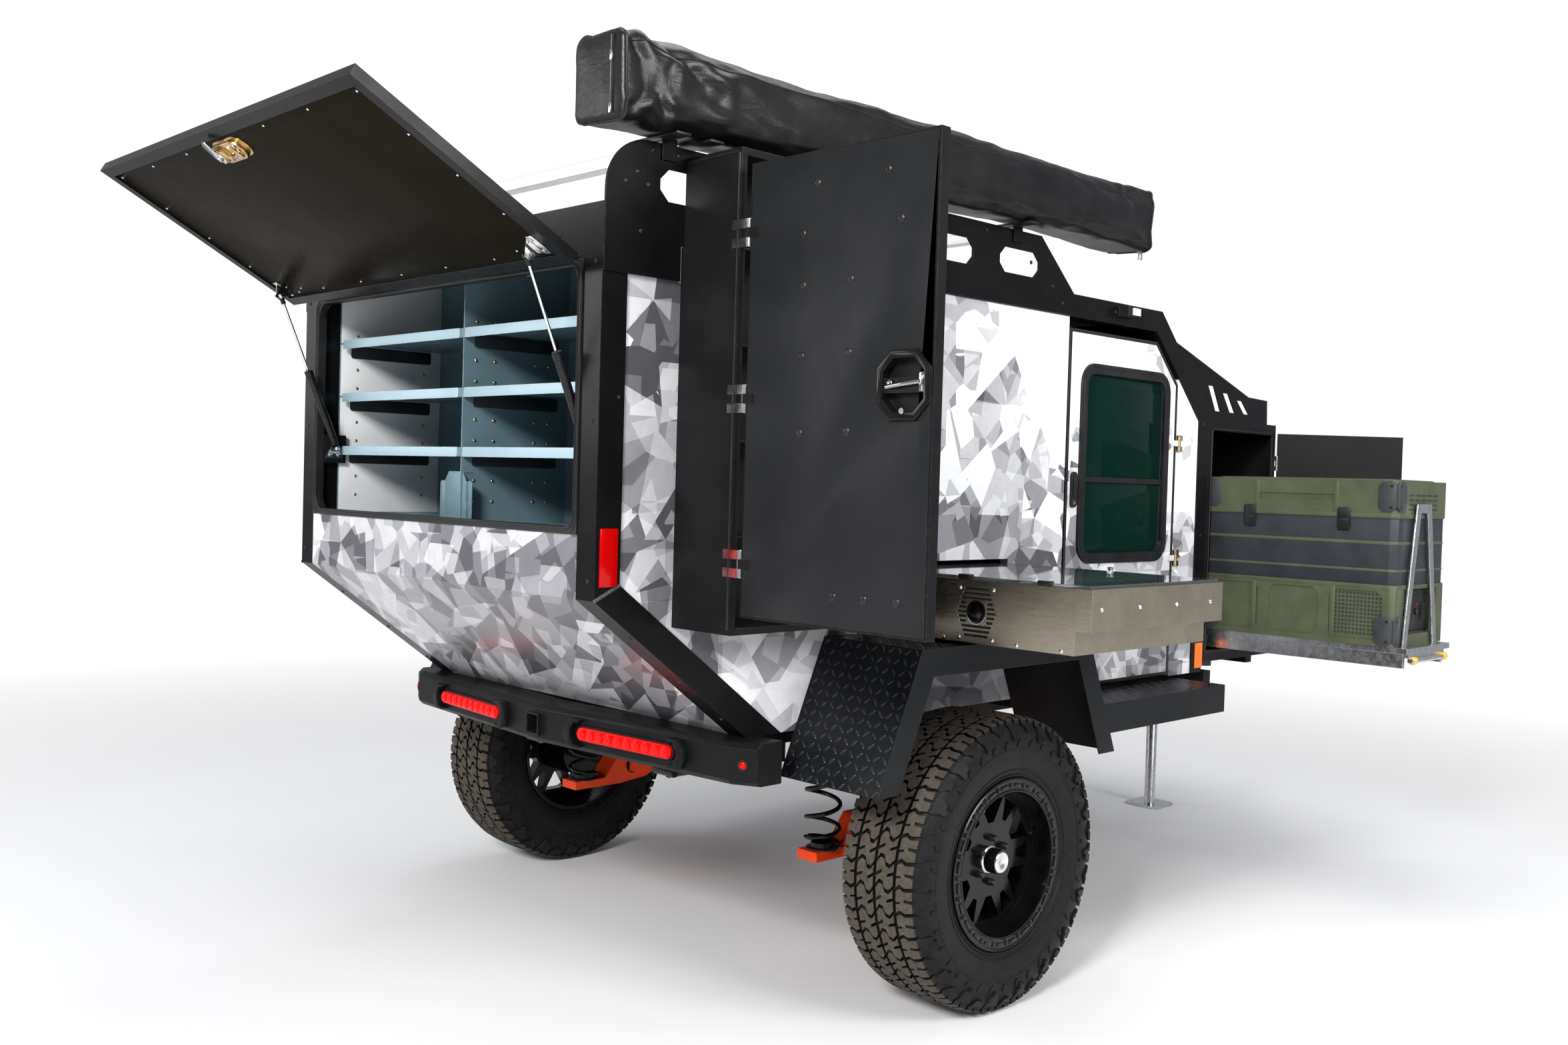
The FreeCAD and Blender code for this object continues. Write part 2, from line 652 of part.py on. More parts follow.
def cut_ring(name, normal, span, u, v, corner, band):
    """A flat ring whose outer and inner outlines both have cut corners."""
    whole = prism(name + "_outer", normal, cut_corners(u, v, corner), span)
    inside = cut_corners(past(u, -band), past(v, -band), corner - band / 2)
    return cut(name, whole, prism(name + "_inner", normal, inside, past(span)))


pantry_axis = (pantry_out + D.pantry_axis_out, pantry_rear + D.pantry_axis_in)
leaf_x = (pantry_axis[0] + D.leaf_start, pantry_axis[0] + D.leaf_start + D.leaf_wide)
leaf_z = (pantry_low + D.leaf_rise, pantry_top - D.leaf_drop)
pantry_skin = box("pantry_skin", leaf_x, (pantry_rear, pantry_rear + D.pantry_leaf), leaf_z)
grip_x, grip_z = leaf_x[1] - D.grip_from_edge, leaf_z[1] - D.grip_drop
grip_u, grip_v = about(grip_x, D.grip_half), about(grip_z, D.grip_half)
grip_cut = D.grip_half / 2
grip_span = (pantry_rear - D.grip_proud, pantry_rear + D.sheet_thick)
bezel = cut_ring("grip_bezel", "y", grip_span, grip_u, grip_v, grip_cut, D.grip_band)
grip_room = prism(
    "grip_room", "y",
    cut_corners(past(grip_u, -D.grip_band), past(grip_v, -D.grip_band), grip_cut - D.grip_band / 2),
    (pantry_rear - OVER, pantry_rear + D.grip_deep),
)
paddle = box(
    "grip_paddle", past(grip_u, -D.grip_band / 2), (pantry_rear - 2, pantry_rear + 6),
    about(grip_z, D.grip_band),
)
pantry_fixed, pantry_moving = [], []
leaf_span_y = (pantry_rear - D.shelf_thick, pantry_rear)
hinge_pitch = (leaf_z[1] - leaf_z[0] - D.pantry_hinge_rise * 2 - D.pantry_hinge_lift) / 2
for index in range(3):
    fixed, moving = hinge(
        f"pantry_hinge_{index}", "z", leaf_z[0] + D.pantry_hinge_rise + hinge_pitch * index,
        D.pantry_hinge, *pantry_axis,
        (((pantry_out - 26, pantry_axis[0]), leaf_span_y),
         ((pantry_axis[0], leaf_x[0] + 26), leaf_span_y)),
        8,
    )
    pantry_fixed.append(fixed)
    pantry_moving.append(moving)
pantry_cut = cut("pantry_leaf_cut", pantry_skin, grip_room)
node("pantry_door", fuse("pantry_leaf_weld", pantry_cut, bezel, paddle, *pantry_moving))

# Entry doors with their windows; the upper front corner follows the slope

axis_x, axis_y = half + D.hinge_out, door_front
door_low, door_high = door_rear + D.door_gap, door_front - D.door_gap
door_bottom, door_top = floor + D.door_rise, roof - D.door_drop
slope_clear = D.tube_size * slope_thicken + D.door_slope_gap
door_corners = [
    (door_low, door_bottom), (door_high, door_bottom),
    (door_high, roof_line(door_high) - slope_clear),
    (bend + (roof - slope_clear - door_top) / slope_fall, door_top), (door_low, door_top),
]
door_slab = prism("door_slab", "x", door_corners, (wall_in, wall_out))
window_y = (door_rear + D.window_from_rear, door_front - D.window_from_front)
window_z = (door_bottom + D.window_rise, door_top - D.window_drop)
window_hole = box("window_hole", past((wall_in, wall_out)), window_y, window_z)
door_cut = cut("door_cut", door_slab, rounded("window_hole_round", window_hole, D.window_round, "x"))
entry_fixed, door_moving = [], []
for index in range(2):
    fixed, moving = hinge(
        f"entry_hinge_{index}", "z",
        door_bottom + D.entry_hinge_rise + D.entry_hinge_pitch * index, D.hinge_long, axis_x, axis_y,
        (((wall_out, axis_x), (axis_y, axis_y + 26)), ((wall_out, axis_x), (axis_y - 34, axis_y))),
        6,
    )
    entry_fixed.append(fixed)
    door_moving.append(moving)
door_right, door_left = both_sides(fuse("door_weld", door_cut, *door_moving))
node("entry_door_right", door_right)
node("entry_door_left", door_left)

pane_y, pane_z = past(window_y, -D.touch_gap), past(window_z, -D.touch_gap)
pane_frame = frame_ring(
    "pane_frame", "x", (wall_in - OVER, wall_out + D.window_proud), (pane_y, pane_z),
    D.window_frame, D.window_round - D.window_frame,
)
pane_round = rounded(
    "pane_round", pane_frame, D.window_round, "x", [(u, v) for u in pane_y for v in pane_z]
)
glass_x = wall_out - D.glass_deep
glass_edge = D.window_frame / 3
pane_glass = prism(
    "pane_glass", "x",
    cut_corners(past(pane_y, -glass_edge), past(pane_z, -glass_edge), D.window_frame),
    (glass_x, glass_x + D.glass_thick),
)
pane_bar = box(
    "pane_bar", (wall_in + OVER, wall_out), past(pane_y, -glass_edge),
    about(window_z[0] + D.bar_rise, D.bar_half),
)
pane_right, pane_left = both_sides(fuse("pane_weld", pane_round, pane_bar, pane_glass))
node("entry_window_right", pane_right)
node("entry_window_left", pane_left)

# Nose box, its doors and the gusset plates above it

nose_low, nose_top = floor + D.nose_rise, slope_foot - D.nose_drop
bay_rear, bay_front = front + D.bay_gap, nose_front - D.bay_front_gap
bay_low, bay_top = nose_low + D.bay_rise, nose_top - D.bay_drop
nose_block = box("nose_block", (-half, half), (front, nose_front), (nose_low, nose_top))
nose_room = box(
    "nose_room", past((-half, half), -D.nose_wall), past((front, nose_front), -D.nose_wall),
    past((nose_low, nose_top), -D.nose_wall),
)
nose_bay = box("nose_bay", past((-half, half)), (bay_rear, bay_front), (bay_low, bay_top))
node("nose_box", cut("nose_shell", nose_block, nose_room, nose_bay))

nose_axis = (half + D.leaf_gap, nose_front + D.nose_axis_ahead)
nose_skin = box(
    "nose_skin", (nose_axis[0], nose_axis[0] + D.nose_leaf),
    (bay_rear - D.leaf_lap, nose_axis[1] - 6), past((bay_low, bay_top), D.leaf_lap),
)
nose_fixed, nose_moving = [], []
for index, height in enumerate((nose_low + D.nose_hinge_rise, nose_top - D.nose_hinge_drop)):
    fixed, moving = hinge(
        f"nose_hinge_{index}", "z", height, D.hinge_long, *nose_axis,
        (((half - 30, nose_axis[0]), (nose_front, nose_front + 2)),
         ((nose_axis[0], nose_axis[0] + 3), (nose_axis[1] - 40, nose_axis[1]))),
        4.5,
    )
    nose_fixed.append(fixed)
    nose_moving.append(moving)
nose_leaf = fuse("nose_leaf_weld", nose_skin, *nose_moving)
node("nose_door_right", moved("nose_door_open", nose_leaf, D.nose_open, Z, (*nose_axis, 0)))
node("nose_door_left", mirrored("nose_door_shut", nose_leaf))

gusset_start, gusset_top = bend + D.gusset_start, nose_top + D.gusset_tall
gusset_front = nose_front - D.gusset_back
gusset_x = (half - D.gusset_thick - 3, half - 3)
gusset = prism("gusset", "x", [
    (gusset_start, roof_line(gusset_start)), (front, slope_foot), (front, nose_top),
    (gusset_front + OVER, nose_top), (gusset_front, gusset_top),
    (gusset_front - D.gusset_flat, gusset_top + OVER),
], gusset_x)
gusset_slots = []
for index in range(3):
    start = front - D.slot_gap + D.gusset_pitch * index
    high, low = gusset_top + (D.gusset_flat - D.gusset_pitch * index) / 5, nose_top + D.gusset_tall / 3
    gusset_slots.append(prism(f"gusset_slot_{index}", "x", [
        (start, high), (start + D.gusset_slot, high),
        (start + D.gusset_slot * 2.5, low), (start + D.gusset_slot * 1.5, low),
    ], past(gusset_x)))
node("nose_gussets", *both_sides(cut("gusset_cut", gusset, *gusset_slots)))

# Fridge: body, band and lid, with shallow panels on its long side and a niche in its end

fridge_end = half + D.fridge_out
fridge_x = (fridge_end - D.fridge_long, fridge_end)
fridge_y = (bay_rear + D.fridge_gap, bay_front - D.fridge_slack)
fridge_low, fridge_top = bay_low + D.fridge_rise, bay_top - D.fridge_head
lid_low = fridge_top - D.fridge_lid
body_z = (fridge_low, fridge_low + D.fridge_base)
body_block = box("fridge_block", fridge_x, fridge_y, body_z)
fridge_body = rounded("fridge_round", body_block, D.fridge_round, "z")
band_x, band_y = past(fridge_x, -D.fridge_panel), past(fridge_y, -D.fridge_panel)
band_corners = cut_corners(band_x, band_y, D.fridge_round)
fridge_band = prism("fridge_belt", "z", band_corners, (body_z[1] - OVER, lid_low + OVER))
lid_corners = cut_corners(fridge_x, fridge_y, D.fridge_round)
fridge_lid = prism("fridge_lid", "z", lid_corners, (lid_low, fridge_top))
fridge_cuts = []
panel_pitch = (D.fridge_long - D.fridge_margin) / 3
panel_z = past(body_z, -D.fridge_margin / 2)
panel_y = (fridge_y[0] - OVER, fridge_y[0] + D.fridge_panel)
for index in range(3):
    start = fridge_x[0] + D.fridge_margin + panel_pitch * index
    panel_x = (start, start + panel_pitch - D.fridge_margin)
    corners = cut_corners(panel_x, panel_z, D.fridge_round)
    fridge_cuts.append(prism(f"fridge_panel_{index}", "y", corners, panel_y))
fridge_cuts.append(box(
    "fridge_niche", (fridge_end - D.fridge_round, fridge_end + OVER),
    past(fridge_y, -D.fridge_margin * 2), (body_z[0] + D.fridge_margin, body_z[1] - D.fridge_panel),
))
fridge_cuts.append(box(
    "fridge_grab", past(fridge_x, -D.fridge_long / 3.4), panel_y,
    about(lid_low + D.fridge_lid / 2, D.fridge_round / 2),
))
fridge_weld = fuse("fridge_weld", fridge_body, fridge_band, fridge_lid)
node("fridge", cut("fridge_cut", fridge_weld, *fridge_cuts))

# Fridge slide: plate, runners, pull handle and the leaning frame that holds the fridge

tray_low = fridge_low - D.tray_thick
runner_top = tray_low - 6
runner_y = [(start, start + D.tray_thick) for start in (fridge_y[0] + 20, fridge_y[1] - 90)]
handle_y = (fridge_y[0] + 35, fridge_y[1] - 100)
pull_x = fridge_end + D.tray_proud
frame_x = (fridge_end + 8, fridge_end + 14)
frame_foot = (fridge_y[0] + 50, fridge_y[1] - 90)
frame_mid, frame_top = (frame_foot[0] + frame_foot[1]) / 2, fridge_top - 80
frame_whole = prism("fridge_frame_whole", "x", [
    (frame_foot[0], tray_low), (frame_foot[1], tray_low),
    (frame_mid + D.frame_head, frame_top), (frame_mid - D.frame_head, frame_top),
], frame_x)
frame_room = prism("fridge_frame_room", "x", [
    (frame_foot[0] + D.frame_bar, tray_low - OVER), (frame_foot[1] - D.frame_bar, tray_low - OVER),
    (frame_mid + D.frame_head - D.frame_bar, frame_top - D.frame_bar),
    (frame_mid + D.frame_bar - D.frame_head, frame_top - D.frame_bar),
], past(frame_x))
plate_y = (fridge_y[0] + 15, fridge_y[1] - 50)
tray_pieces = [
    box("fridge_plate", (fridge_x[0] - 10, pull_x), plate_y, (runner_top, fridge_low)),
    box("fridge_pull", (pull_x, pull_x + 12), handle_y, (tray_low - 36, tray_low - 22)),
    box("fridge_pull_plate", (pull_x - 6, pull_x), handle_y, (tray_low - 36, tray_low)),
    cut("fridge_frame", frame_whole, frame_room),
]
for index, span in enumerate(runner_y):
    runner_x = (fridge_x[0] - 90, pull_x - 15)
    tray_pieces.append(
        box(f"fridge_runner_{index}", runner_x, span, (runner_top - D.runner_tall, runner_top))
    )
node("fridge_tray", fuse("fridge_tray_weld", *tray_pieces))

# Sliding kitchen with a sink, a stove well and a slotted hexagonal grille round its knob

kitchen_end = half + D.kitchen_out
kitchen_x = (kitchen_end - D.kitchen_long, kitchen_end)
step_x = kitchen_end - D.kitchen_step
side_y = past(kitchen_y, -D.sheet_thick)
kitchen_block = box("kitchen_block", (kitchen_x[0], step_x), side_y, (kitchen_low, kitchen_top))
fascia = box("kitchen_fascia", (step_x, kitchen_end), kitchen_y, (kitchen_top - D.fascia_tall, kitchen_top))
basin_x = (kitchen_x[0] + 60, kitchen_x[0] + D.basin_long)
basin = box("kitchen_basin", basin_x, past(kitchen_y, -90), (kitchen_low + 12, kitchen_top + OVER))
stove = box(
    "kitchen_stove_well", (basin_x[1] + 50, kitchen_end - 90), past(kitchen_y, -40),
    (kitchen_top - D.stove_deep, kitchen_top + OVER),
)
grille_x, grille_z = half + D.grille_out, kitchen_low + D.grille_rise
grille_y = (side_y[0] - OVER, side_y[0] + D.grille_deep)
slots = []
for row in range(-5, 6):
    reach = D.grille_half - D.grille_taper * abs(row)
    slot_z = about(grille_z + D.grille_pitch * row, D.grille_slot / 2)
    knob = D.knob_radius + D.sheet_thick
    if abs(row) * float(D.grille_pitch) < float(D.knob_radius):
        spans = [(grille_x - reach, grille_x - knob), (grille_x + knob, grille_x + reach)]
    else:
        spans = [(grille_x - reach, grille_x + reach)]
    for span in spans:
        slots.append(box(f"grille_slot_{len(slots)}", span, grille_y, slot_z))
kitchen_weld = fuse("kitchen_weld", kitchen_block, fascia)
node("kitchen_tray", cut("kitchen_cut", kitchen_weld, basin, stove, *slots))
node("kitchen_lid", box(
    "kitchen_glass", (kitchen_x[0] + 20, kitchen_end - 12), past(kitchen_y, -8),
    (kitchen_top, kitchen_top + D.lid_thick),
))

# Rails of the two slides, each on its own legs

kitchen_rail_z = (kitchen_low + 20, kitchen_low + 60)
reveal = D.sheet_thick - D.touch_gap
rail_spans = ((kitchen_y[0] - 8, kitchen_y[0] + reveal), (kitchen_y[1] - reveal, kitchen_y[1] + 8))
leg_spans = ((rail_spans[0][0] - 6, rail_spans[0][0]), (rail_spans[1][1], rail_spans[1][1] + 6))
rail_sets = []
for index, (span, leg_y) in enumerate(zip(rail_spans, leg_spans)):
    rail_sets.append(fuse(
        f"kitchen_rail_set_{index}",
        box(f"kitchen_rail_{index}", (-20, wall_in), span, kitchen_rail_z),
        box(f"kitchen_leg_{index}", (40, 90), leg_y, (deck, kitchen_rail_z[1])),
    ))
rail_starts = (runner_y[0][0] - 12 - D.touch_gap, runner_y[1][1] + D.touch_gap)
bay_x = (-inner, half - D.nose_wall - 1)
foot_span_z = (nose_low + D.nose_wall, tray_low - 60)
for index, start in enumerate(rail_starts):
    rail_sets.append(fuse(
        f"fridge_rail_set_{index}",
        box(f"fridge_rail_{index}", bay_x, (start, start + 12), (tray_low - 60, tray_low - 10)),
        box(f"fridge_rail_foot_{index}", bay_x, (start, start + 12), foot_span_z),
    ))
node("slide_rails", *rail_sets)

# Roof rack plates, bars, the awning bag and its brackets

rack_top, skirt = roof + D.rack_rise, roof - D.rack_skirt
skirt_front = rear + D.rack_skirt_long
plate = prism("rack_plate", "x", [
    (rear, skirt), (skirt_front, skirt), (skirt_front, rack_low), (D.rack_front, rack_low),
    (D.rack_front, roof), (D.rack_front - D.rack_lean, rack_top), (rear, rack_top),
], (half, rack_out))
plate = rounded("rack_plate_round", plate, D.rack_round, "x", [(rear, rack_top)])
rack_slots = []
slot_z = (roof + D.slot_above, roof + D.slot_above + D.slot_tall)
for index in range(5):
    start = rear + D.rack_slot_start + D.rack_slot_pitch * index
    corners = cut_corners((start, start + D.rack_slot), slot_z, D.slot_cut)
    rack_slots.append(prism(f"rack_slot_{index}", "x", corners, past((half, rack_out))))
node("rack_plates", *both_sides(cut("rack_plate_cut", plate, *rack_slots)))
BAR_SPOTS = (102, 722, 1172, 1442)
bar_z = (roof + D.bar_above, roof + D.bar_above + D.bar_tall)
node("rack_bars", *[
    box(f"rack_bar_{index}", (-half, half), (rear + spot, rear + spot + D.bar_wide), bar_z)
    for index, spot in enumerate(BAR_SPOTS)
])

bag_low, bag_rear = rack_top + D.bag_above, rear - D.bag_overhang
bag = box(
    "bag_block", about(half + D.bag_out, D.bag_wide / 2), (bag_rear, bag_rear + D.bag_long),
    (bag_low, bag_low + D.bag_tall),
)
node("awning_bag", rounded("bag_round", bag, D.bag_round, "y"))
brackets = []
bracket_top = bag_low - D.touch_gap
for index, start in enumerate((rear + 162, pantry_y[1] + 26, rear + 1562)):
    span, outer = (start, start + D.bracket_wide), rack_out + OVER
    brackets.append(fuse(
        f"awning_bracket_{index}",
        box(f"awning_foot_{index}", (rack_out, outer), span, (rack_top - 40, bracket_top)),
        box(f"awning_pad_{index}", (half - 40, outer), span, (rack_top + 6, bracket_top)),
    ))
node("awning_brackets", *brackets)

# Fenders, open below and in towards the wheel, and the steps ahead of them

fender_out = wheel_track + D.tyre_wide / 2 - D.fender_over
fender_low, fender_top = floor - D.fender_drop, floor + D.fender_rise
foot_deep = D.fender_foot * 2 - D.fender_flat
low_deep = fender_low * 2 - fender_top
fender_sketch = outline("fender_sketch", "x", [
    (-foot_deep, low_deep), (-D.fender_flat, fender_top), (D.fender_flat, fender_top),
    (foot_deep, low_deep),
], wall_out)
fender_wide = fender_out - wall_out
fender_mass = pushed("fender_mass", fender_sketch, "x", fender_wide)
fender_inset = inset("fender_inset", fender_sketch, D.fender_thick)
fender_hollow = pushed("fender_hollow", fender_inset, "x", fender_wide - D.fender_thick)
lip_inset = inset("lip_outline", fender_sketch, D.fender_flange)
lip_hollow = pushed("lip_hollow", lip_inset, "x", fender_wide + OVER)
below = box("fender_below", past((wall_out, fender_out)), (-foot_deep * 2, foot_deep * 2), (0, fender_low))
node("fenders", *both_sides(cut("fender_shell", fender_mass, fender_hollow, lip_hollow, below)))

step_out, step_top = half + D.step_out, floor - D.step_drop
step_y = (D.step_start, D.step_start + D.step_long)
step_block = box("step_block", (inner, step_out), step_y, (step_top - D.step_tall, step_top))
step_room = box(
    "step_room", (inner - OVER, step_out - OVER), past(step_y),
    (step_top - D.step_tall * 2, step_top - OVER),
)
arm_span_z = (step_top - 55, step_top - OVER)
step_arms = [
    box(f"step_arm_{index}", (rail_out, step_out - 10), (start, start + 40), arm_span_z)
    for index, start in enumerate((step_y[0] + 80, step_y[1] - 140))
]
node("steps", *both_sides(fuse("step_weld", cut("step_shell", step_block, step_room), *step_arms)))

# Chassis: rails, cross members, tongue, jack plate and the feet of the nose box

rail_z, cross_z = (rail_low, floor), (rail_low + 20, floor)
rail_in = rail_out - D.rail_wide
jack_ahead = tongue_tip - D.jack_back
crosses = [
    box(f"cross_member_{index}", (-rail_out, rail_out), (start, start + D.cross_wide), cross_z)
    for index, start in enumerate((tail, -D.cross_behind, D.pivot_ahead - 30, D.cross_ahead, front - 38))
]
rail = box("chassis_rail", (rail_in, rail_out), (tail, front + 42), rail_z)
tip_half = D.tongue_tip_half
tongue = prism("tongue_beam", "z", [
    (rail_in, front - 58), (rail_out, front - 58), (rail_out, front + 62), (tip_half, tongue_tip),
    (tip_half - D.rail_wide, tongue_tip), (rail_in, front + 42),
], rail_z)
chassis_pieces = [
    box("tongue_nose", (-tip_half, tip_half), (tongue_tip - 140, tongue_tip), rail_z),
    box("jack_plate", (-160, 160), about(jack_ahead, 70), (floor - 6, floor + 8)),
    box("front_cross", (-half, half), (front + 22, front + 72), (rail_low + 17, floor)),
]
for index, start in enumerate((front + 24, nose_front - 105)):
    foot_span = (start, start + 45)
    chassis_pieces.append(box(f"nose_foot_{index}", past((-half, half), -40), foot_span, (floor, nose_low)))
chassis = fuse("chassis_weld", *both_sides(rail, tongue), *crosses, *chassis_pieces)
jack_hole = rod("jack_hole", "z", D.jack_radius + D.touch_gap, past((rail_low, floor), 10), 0, jack_ahead)
node("chassis_frame", cut("chassis", chassis, jack_hole))

# Ball coupler

cup_z = (coupler_height, coupler_height + D.coupler_drop - 1)
coupler_weld = fuse(
    "coupler_weld",
    rod("coupler_cup", "z", D.ball_deep, cup_z, 0, coupler_ahead),
    box("coupler_channel", (-34, 34), (tongue_tip, coupler_ahead), (coupler_height + 8, rail_low + 30)),
    box("coupler_foot", (-50, 50), (tongue_tip, tongue_tip + 10), rail_z),
)
socket_z = (coupler_height - OVER, coupler_height + D.ball_deep)
ball_room = rod("socket", "z", D.ball_radius, socket_z, 0, coupler_ahead)
node("coupler", cut("coupler_cut", coupler_weld, ball_room))

# Jack: outer tube with a crank, held on the tongue, and the leg with its foot

jack_low, jack_top = rail_low - D.jack_below, floor + D.jack_above
jack_weld = fuse(
    "jack_weld",
    rod("jack_outer", "z", D.jack_radius, (jack_low, jack_top), 0, jack_ahead),
    rod("jack_head", "z", D.jack_radius + 8, (jack_top - 60, jack_top + 20), 0, jack_ahead),
    box("jack_collar", (-50, 50), about(jack_ahead, 50), (floor + 8, floor + 20)),
    knuckle("jack_crank", "x", 7, (D.jack_radius, 150), jack_ahead, jack_top - 20),
    knuckle("jack_crank_arm", "z", 7, (jack_top - 130, jack_top - 13), size(143), jack_ahead),
)
jack_bore = rod("jack_bore", "z", D.leg_radius + D.run_fit, (jack_low - OVER, jack_top - 20), 0, jack_ahead)
node("jack_tube", cut("jack_cut", jack_weld, jack_bore))
foot_corners = cut_corners(about(size(0), D.foot_half), about(jack_ahead, D.foot_half), D.foot_half / 4)
node("jack_leg", fuse(
    "jack_leg_weld", prism("jack_foot", "z", foot_corners, (0, 10)),
    rod("jack_leg_tube", "z", D.leg_radius, (8, jack_low + D.leg_hidden), 0, jack_ahead),
))

# Rear bumper: a beam swept back to the middle, bevelled behind, with a receiver socket

bumper_half, bumper_rear = half + D.bumper_out, tail - 160
bumper_z = (floor - D.bumper_tall, floor)
lamp_end = bumper_half - 70
bumper = prism("bumper_beam", "z", [
    (-bumper_half, tail + 30), (0, tail - 50), (bumper_half, tail + 30), (bumper_half, tail - 60),
    (lamp_end, bumper_rear + D.bumper_sweep), (0, bumper_rear),
    (-lamp_end, bumper_rear + D.bumper_sweep), (-bumper_half, tail - 60),
], bumper_z)
doc.recompute()
bevel = add("Part::Chamfer", "bumper_bevel")
bevel.Base = bumper
bevel.Edges = [
    (index, 14.0, 14.0) for index, edge in enumerate(bumper.Shape.Edges, 1)
    if edge.CenterOfMass.y < float(tail) - 62 and edge.Vertexes[0].Z == edge.Vertexes[-1].Z
]
receiver_z = floor - D.receiver_drop
receiver = box(
    "receiver_tube", about(size(0), D.receiver_half), (bumper_rear - 12, tail - 5),
    about(receiver_z, D.receiver_half),
)
receiver_room = box(
    "receiver_room", about(size(0), D.receiver_bore), (bumper_rear - 100, tail - 20),
    about(receiver_z, D.receiver_bore),
)
tie = box("bumper_tie", (rail_in, rail_out), (tail - 30, tail), rail_z)
bumper_weld = fuse("bumper_weld", bevel, receiver, *both_sides(tie))
node("rear_bumper", cut("bumper_cut", bumper_weld, receiver_room))

# Lamps

tail_slope = D.bumper_sweep / lamp_end
lamp_x = (D.lamp_start, D.lamp_start + D.lamp_long)
lamp_y = [bumper_rear + u * tail_slope for u in lamp_x]
tail_lamp = prism("tail_lamp", "z", [
    (lamp_x[0], lamp_y[0]), (lamp_x[1], lamp_y[1]),
    (lamp_x[1], lamp_y[1] - D.lamp_proud), (lamp_x[0], lamp_y[0] - D.lamp_proud),
], about(receiver_z, D.lamp_half))
lens_x = (half, half + D.sheet_thick)
rear_reflector = box("rear_reflector", lens_x, (rear + 12, rear + 64), (knee + 34, knee + 174))
side_reflector = box("side_reflector", lens_x, (front - 51, front), (floor + 17, floor + 111))
node("red_lamps", *both_sides(tail_lamp, rear_reflector))
node("amber_lamps", *both_sides(side_reflector))
flood = box("flood_body", (half, half + 45), (bend - 290, bend - 210), (roof - 47, roof - 11))
node("flood_lamps", *both_sides(flood))

# Running gear: trailing arms, stub axles, springs and shocks

arm_x = (rail_out + D.arm_inset, rail_out + D.arm_inset + D.arm_wide)
arm_mid = rail_out + D.arm_inset + D.arm_wide / 2
pivot = (D.pivot_ahead, rail_low - D.pivot_drop)
arm_low, arm_top, seat_top = axle_z - 61, axle_z + 49, axle_z - 33
eye = D.pivot_radius + 6
coil_y = -D.coil_behind
arm_plate = prism("arm_plate", "x", [
    (coil_y - 62, arm_low), (-60, arm_low), (60, arm_low + 13), (pivot[0], pivot[1] - eye),
    (pivot[0] + eye, pivot[1]), (pivot[0], pivot[1] + eye), (pivot[0] - 60, pivot[1] + 25),
    (60, arm_top), (-60, arm_top), (coil_y + 66, seat_top), (coil_y - 62, seat_top),
], arm_x)
brace_x = (rail_out - 200, rail_out - 140)
arm_pivot = rod("arm_pivot", "x", D.pivot_radius, (brace_x[0], arm_x[1]), *pivot)
brace_z = (axle_z - 18, axle_z + 27)
brace_end = pivot[0] - 30
arm_brace = prism("arm_brace", "z", [
    (brace_x[0], brace_end), (brace_x[1], brace_end), (arm_x[0] + 10, 60), (arm_x[0] + 10, -20),
    (arm_x[0] - 30, -20),
], brace_z)
arm_post = box("arm_brace_post", brace_x, (brace_end - 2, pivot[0]), (brace_z[0], pivot[1]))
arm = fuse("arm_weld", arm_plate, arm_pivot, arm_brace, arm_post)
hub_hole = rod("arm_spindle_hole", "x", D.spindle_radius + D.touch_gap, past(arm_x), 0, axle_z)
node("trailing_arms", *both_sides(cut("arm_cut", arm, hub_hole)))
spindle = rod("spindle", "x", D.spindle_radius, (arm_x[0], wheel_track + D.spindle_past), 0, axle_z)
node("stub_axles", *both_sides(spindle))

CHORDS, COIL_TURNS = 12, 5


def coil(radius, wire, low, high, x, y):
    """A coil spring about an upright axis, with straight chords and a six-sided wire."""
    rise, steps = high - low - wire * 2, COIL_TURNS * CHORDS
    turn = 2 * math.pi / CHORDS
    path = Part.makePolygon([
        FreeCAD.Vector(radius * math.cos(turn * step), radius * math.sin(turn * step), rise * step / steps)
        for step in range(steps + 1)
    ])
    spread = [math.pi / 3 * (corner + 0.5) for corner in range(7)]
    section = Part.makePolygon([
        FreeCAD.Vector(radius + wire * math.cos(angle), 0, wire * math.sin(angle)) for angle in spread
    ])
    spring = path.makePipeShell([section], True, True, 1)
    spring.translate(FreeCAD.Vector(x, y, low + wire))
    return spring


def shaped(name, shape):
    piece = add("Part::Feature", name)
    piece.Shape = shape
    return piece


tower_low = rail_low + 20
spring_z = (seat_top + D.touch_gap, tower_low - D.touch_gap)
spring_sizes = (D.coil_radius, D.coil_wire, *spring_z, arm_mid, coil_y)
spring = shaped("coil_right", coil(*[float(amount) for amount in spring_sizes]))
node("coil_springs", *both_sides(spring))
tower = box("spring_tower", (rail_out, arm_x[1] + 20), about(coil_y, 60), (tower_low, floor))
shock_split = floor - 143
shock = fuse(
    "shock", rod("shock_low", "z", D.shock_radius, (arm_top, shock_split), arm_mid, D.shock_ahead),
    rod("shock_high", "z", D.shock_radius / 2, (shock_split, floor), arm_mid, D.shock_ahead),
)
node("shocks", *both_sides(shock))

# Wheels: tyre, and a rim with a bolted bead ring, forked spokes, hub and cap

